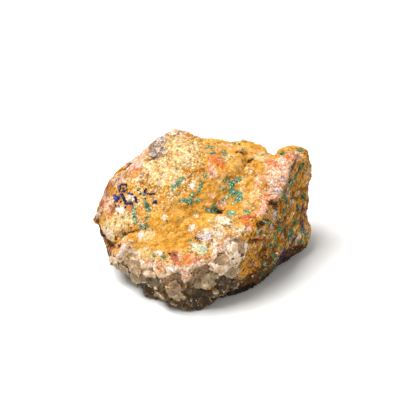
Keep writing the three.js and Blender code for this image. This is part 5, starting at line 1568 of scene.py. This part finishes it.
def stroke_spots(width, path, shade, rng):
    """Places of the crystals of one stroke, with their shade and size; beyond the ridge it tapers."""
    spots = []
    for start, end in zip(path, path[1:]):
        start, end = np.array(start, dtype=float), np.array(end, dtype=float)
        length = max(np.linalg.norm(end - start), SHORTEST_STRETCH)
        crowding = CROWDING
        if start[0] > RIDGE:
            width *= RIGHT_NARROWING
            crowding = RIGHT_CROWDING
        for _ in range(int(math.ceil(length * width * crowding))):
            middle = start + (end - start) * rng.uniform(-0.05, 1.05)
            a, b = middle + rng.normal(size=2) * width * 0.19
            spots.append((a, b, shade + rng.normal() * 0.24, rng.uniform(0.5, 1.15)))
    return spots


# An icosahedron's corners and sides, and how a grain is squashed
GOLDEN = (1 + 5**0.5) / 2
GRAIN_CORNERS = np.array([
    (-1, GOLDEN, 0), (1, GOLDEN, 0), (-1, -GOLDEN, 0), (1, -GOLDEN, 0), (0, -1, GOLDEN), (0, 1, GOLDEN),
    (0, -1, -GOLDEN), (0, 1, -GOLDEN), (GOLDEN, 0, -1), (GOLDEN, 0, 1), (-GOLDEN, 0, -1), (-GOLDEN, 0, 1)])
GRAIN_SIDES = np.array([
    (0, 11, 5), (0, 5, 1), (0, 1, 7), (0, 7, 10), (0, 10, 11), (1, 5, 9), (5, 11, 4), (11, 10, 2),
    (10, 7, 6), (7, 1, 8), (3, 9, 4), (3, 4, 2), (3, 2, 6), (3, 6, 8), (3, 8, 9), (4, 9, 5),
    (2, 4, 11), (6, 2, 10), (8, 6, 7), (9, 8, 1)])
GRAIN_SQUASH = (1.15, 0.95, 0.6)


def round_grain(size, rng):
    """A knobbly grain of malachite: an icosahedron with uneven corners, flattened."""
    uneven = rng.uniform(0.75, 1.2, (len(GRAIN_CORNERS), 1))
    corners = GRAIN_CORNERS / np.linalg.norm(GRAIN_CORNERS[0]) * uneven * size
    return corners * GRAIN_SQUASH, GRAIN_SIDES


def blade_crystal(size, rng):
    """A stubby blade of azurite: a flat six-sided prism with a chisel end."""
    angles = np.radians([20, 90, 160, 200, 270, 340])
    ring = np.stack([np.cos(angles), np.sin(angles) * rng.uniform(0.5, 0.8), np.zeros(6)], axis=1)
    low = ring * size - (0, 0, 0.5 * size)
    high = ring * (0.55, 0.9, 1) * size + (0, 0, rng.uniform(0.5, 1.1) * size)
    foot = np.array([(0, 0, -0.7 * size)])
    roof = np.array([(0, 0, high[0, 2] + 0.25 * size)])
    corners = np.concatenate([low, high, foot, roof])
    sides = []
    for k in range(6):
        m = (k + 1) % 6
        sides += [(k, m, 6 + m), (k, 6 + m, 6 + k), (6 + k, 6 + m, 13), (m, k, 12)]
    return corners, np.array(sides)


def crust_surface():
    """The finished crust as a searchable surface in layout millimetres."""
    mesh = bpy.data.objects["crust"].data
    layout = to_layout(positions(mesh) / MM)
    return BVHTree.FromPolygons(layout.tolist(), [tuple(p.vertices) for p in mesh.polygons])


def wandering_starts(rng, count, tones, lean):
    """Directions from the heart of the stone to growths on the sides that face away, most along `lean`."""
    starts = []
    while len(starts) < count:
        direction = rng.normal(size=3)
        direction /= np.linalg.norm(direction)
        if direction[2] < 0.15 and rng.uniform() < 0.35 + 0.65 * smooth(-0.4, 0.8, direction @ lean):
            starts.append((tuple(direction), rng.choice(tones)))
    return starts


# Wandering growths on the sides that face away: how many, their shades and where most of them lie
MALACHITE_STARTS = (64, (0.3, 0.5, 0.7), np.array((1.0, 0.1, 0.0)))
AZURITE_STARTS = (18, (0.3, 0.6), np.array((0.7, -0.5, 0.0)))


class SPECIMEN_OT_malachite(bpy.types.Operator):
    """Makes the malachite as crusts of small rounded grains"""

    bl_idname = "specimen.malachite"
    bl_label = "Add the malachite"

    def execute(self, context):
        settings = context.scene.specimen_growths
        rng = np.random.default_rng(settings.seed)
        strokes = [(0.80, MALACHITE_PALE), (0.50, MALACHITE_MID), (0.20, MALACHITE_DARK)]
        starts = wandering_starts(rng, *MALACHITE_STARTS)
        mesh = grow("malachite", strokes, starts, settings.malachite_size, round_grain, 0, rng)
        colours = colours_of(settings, "malachite_dark", "malachite", "malachite_pale")
        finish = growth_finish("malachite", *colours, (0.0, 0.24, 0.52, 0.74, 0.95), 0.3, 0.35)
        add_piece("malachite", mesh, finish)
        return {"FINISHED"}


class SPECIMEN_OT_azurite(bpy.types.Operator):
    """Makes the azurite as clusters of stubby blades"""

    bl_idname = "specimen.azurite"
    bl_label = "Add the azurite"

    def execute(self, context):
        settings = context.scene.specimen_growths
        rng = np.random.default_rng(settings.seed + 1)
        strokes = [(0.04, AZURITE_DEEP), (0.56, AZURITE_BRIGHT)]
        starts = wandering_starts(rng, *AZURITE_STARTS)
        mesh = grow("azurite", strokes, starts, settings.azurite_size, blade_crystal, BLADE_LEAN, rng)
        colours = colours_of(settings, "azurite_dark", "azurite", "azurite_pale")
        finish = growth_finish("azurite", *colours, (0.1, 0.34, 0.62, 0.82, 1.0), 0.5, 0.5)
        add_piece("azurite", mesh, finish)
        return {"FINISHED"}


# Place on the layout, in millimetres, that the camera looks at
AIM = np.array((1.92, 3.52, 0.0))
SENSOR_WIDTH = 36
NEAREST_SEEN, FARTHEST_SEEN = 0.05, 20
# Lamps: place and side, in metres
KEY_PLACE, KEY_SIDE = (-0.24, -0.02, 0.64), 0.45
FILL_PLACE, FILL_SIDE = (0.35, -0.75, 0.45), 0.5
WORLD_COLOUR = (1.0, 0.98, 0.96, 1.0)
FLOOR_REACH = 3.0
FLOOR_STOPS = [(0.3, (0.83, 0.83, 0.82, 1)), (0.7, (0.86, 0.86, 0.85, 1))]


class SPECIMEN_OT_stage(bpy.types.Operator):
    """Sets the floor, the lamps and the camera"""

    bl_idname = "specimen.stage"
    bl_label = "Set the stage"

    def execute(self, context):
        settings = context.scene.specimen_stage
        context.scene.view_settings.view_transform = "Standard"
        aim = Vector(from_layout(AIM)) * MM
        add_camera(aim, settings)
        add_lamp("key_lamp", KEY_PLACE, aim, KEY_SIDE, settings.key_power)
        add_lamp("fill_lamp", FILL_PLACE, aim, FILL_SIDE, settings.fill_power)
        world = bpy.data.worlds.new("studio")
        world.use_nodes = True
        background = world.node_tree.nodes["Background"]
        background.inputs["Color"].default_value = WORLD_COLOUR
        background.inputs["Strength"].default_value = settings.world_strength
        context.scene.world = world
        add_floor()
        return {"FINISHED"}


def aimed(name, data, place, direction):
    """A camera or lamp at a place, looking along a direction."""
    holder = linked(name, data)
    holder.location = place
    holder.rotation_mode = "QUATERNION"
    holder.rotation_quaternion = direction.to_track_quat("-Z", "Y")
    return holder


def add_camera(aim, settings):
    """The camera, looking straight into the show face."""
    camera = bpy.data.cameras.new("camera")
    camera.sensor_width = SENSOR_WIDTH
    camera.lens = camera.sensor_width * settings.distance / settings.frame_width
    camera.clip_start, camera.clip_end = NEAREST_SEEN, FARTHEST_SEEN
    toward = Vector(OUT)
    bpy.context.scene.camera = aimed("camera", camera, aim + toward * settings.distance, -toward)


def add_lamp(name, place, aim, side, power):
    """A square soft lamp that faces the stone."""
    lamp = bpy.data.lights.new(name, "AREA")
    lamp.size = side
    lamp.energy = power
    aimed(name, lamp, place, aim - Vector(place))


def add_floor():
    """The plain pale floor."""
    grid = bmesh.new()
    bmesh.ops.create_grid(grid, x_segments=1, y_segments=1, size=FLOOR_REACH)
    mesh = bpy.data.meshes.new("floor")
    grid.to_mesh(mesh)
    grid.free()
    ground = linked("floor", mesh)
    material, tree, shader, place = new_finish("pale_floor")
    cloud = speckle(tree, place, 0.05, 2.0)[0]
    tree.links.new(ramp(tree, cloud, FLOOR_STOPS), shader.inputs["Base Color"])
    shader.inputs["Roughness"].default_value = 0.9
    mesh.materials.append(material)


class SPECIMEN_PT_panel(bpy.types.Panel):
    """Lists the pieces of the specimen"""

    bl_label = "Azurite malachite specimen"
    bl_idname = "SPECIMEN_PT_panel"
    bl_space_type = "VIEW_3D"
    bl_region_type = "UI"
    bl_category = "Specimen"

    def draw(self, context):
        for group, operators in SECTIONS:
            box = self.layout.box()
            settings = getattr(context.scene, group)
            for name in settings.__annotations__:
                box.prop(settings, name)
            for operator in operators:
                box.operator(operator.bl_idname)


GROUPS = {
    "specimen_crust": SpecimenCrust,
    "specimen_quartz": SpecimenQuartz,
    "specimen_growths": SpecimenGrowths,
    "specimen_stage": SpecimenStage,
}
SECTIONS = [
    ("specimen_crust", [SPECIMEN_OT_crust]),
    ("specimen_quartz", [SPECIMEN_OT_quartz]),
    ("specimen_growths", [SPECIMEN_OT_malachite, SPECIMEN_OT_azurite]),
    ("specimen_stage", [SPECIMEN_OT_stage]),
]
OPERATORS = [operator for _, operators in SECTIONS for operator in operators]


def register():
    """Makes the settings, operators and panel known to Blender."""
    for entry in [*GROUPS.values(), *OPERATORS, SPECIMEN_PT_panel]:
        bpy.utils.register_class(entry)
    for name, group in GROUPS.items():
        setattr(bpy.types.Scene, name, bpy.props.PointerProperty(type=group))


def unregister():
    """Takes the settings, operators and panel away again."""
    for name in GROUPS:
        delattr(bpy.types.Scene, name)
    for entry in reversed([*GROUPS.values(), *OPERATORS, SPECIMEN_PT_panel]):
        bpy.utils.unregister_class(entry)


def main():
    """Makes every piece in order."""
    register()
    bpy.ops.specimen.stage()
    bpy.ops.specimen.crust()
    bpy.ops.specimen.quartz()
    bpy.ops.specimen.malachite()
    bpy.ops.specimen.azurite()
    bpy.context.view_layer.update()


if __name__ == "__main__":
    main()
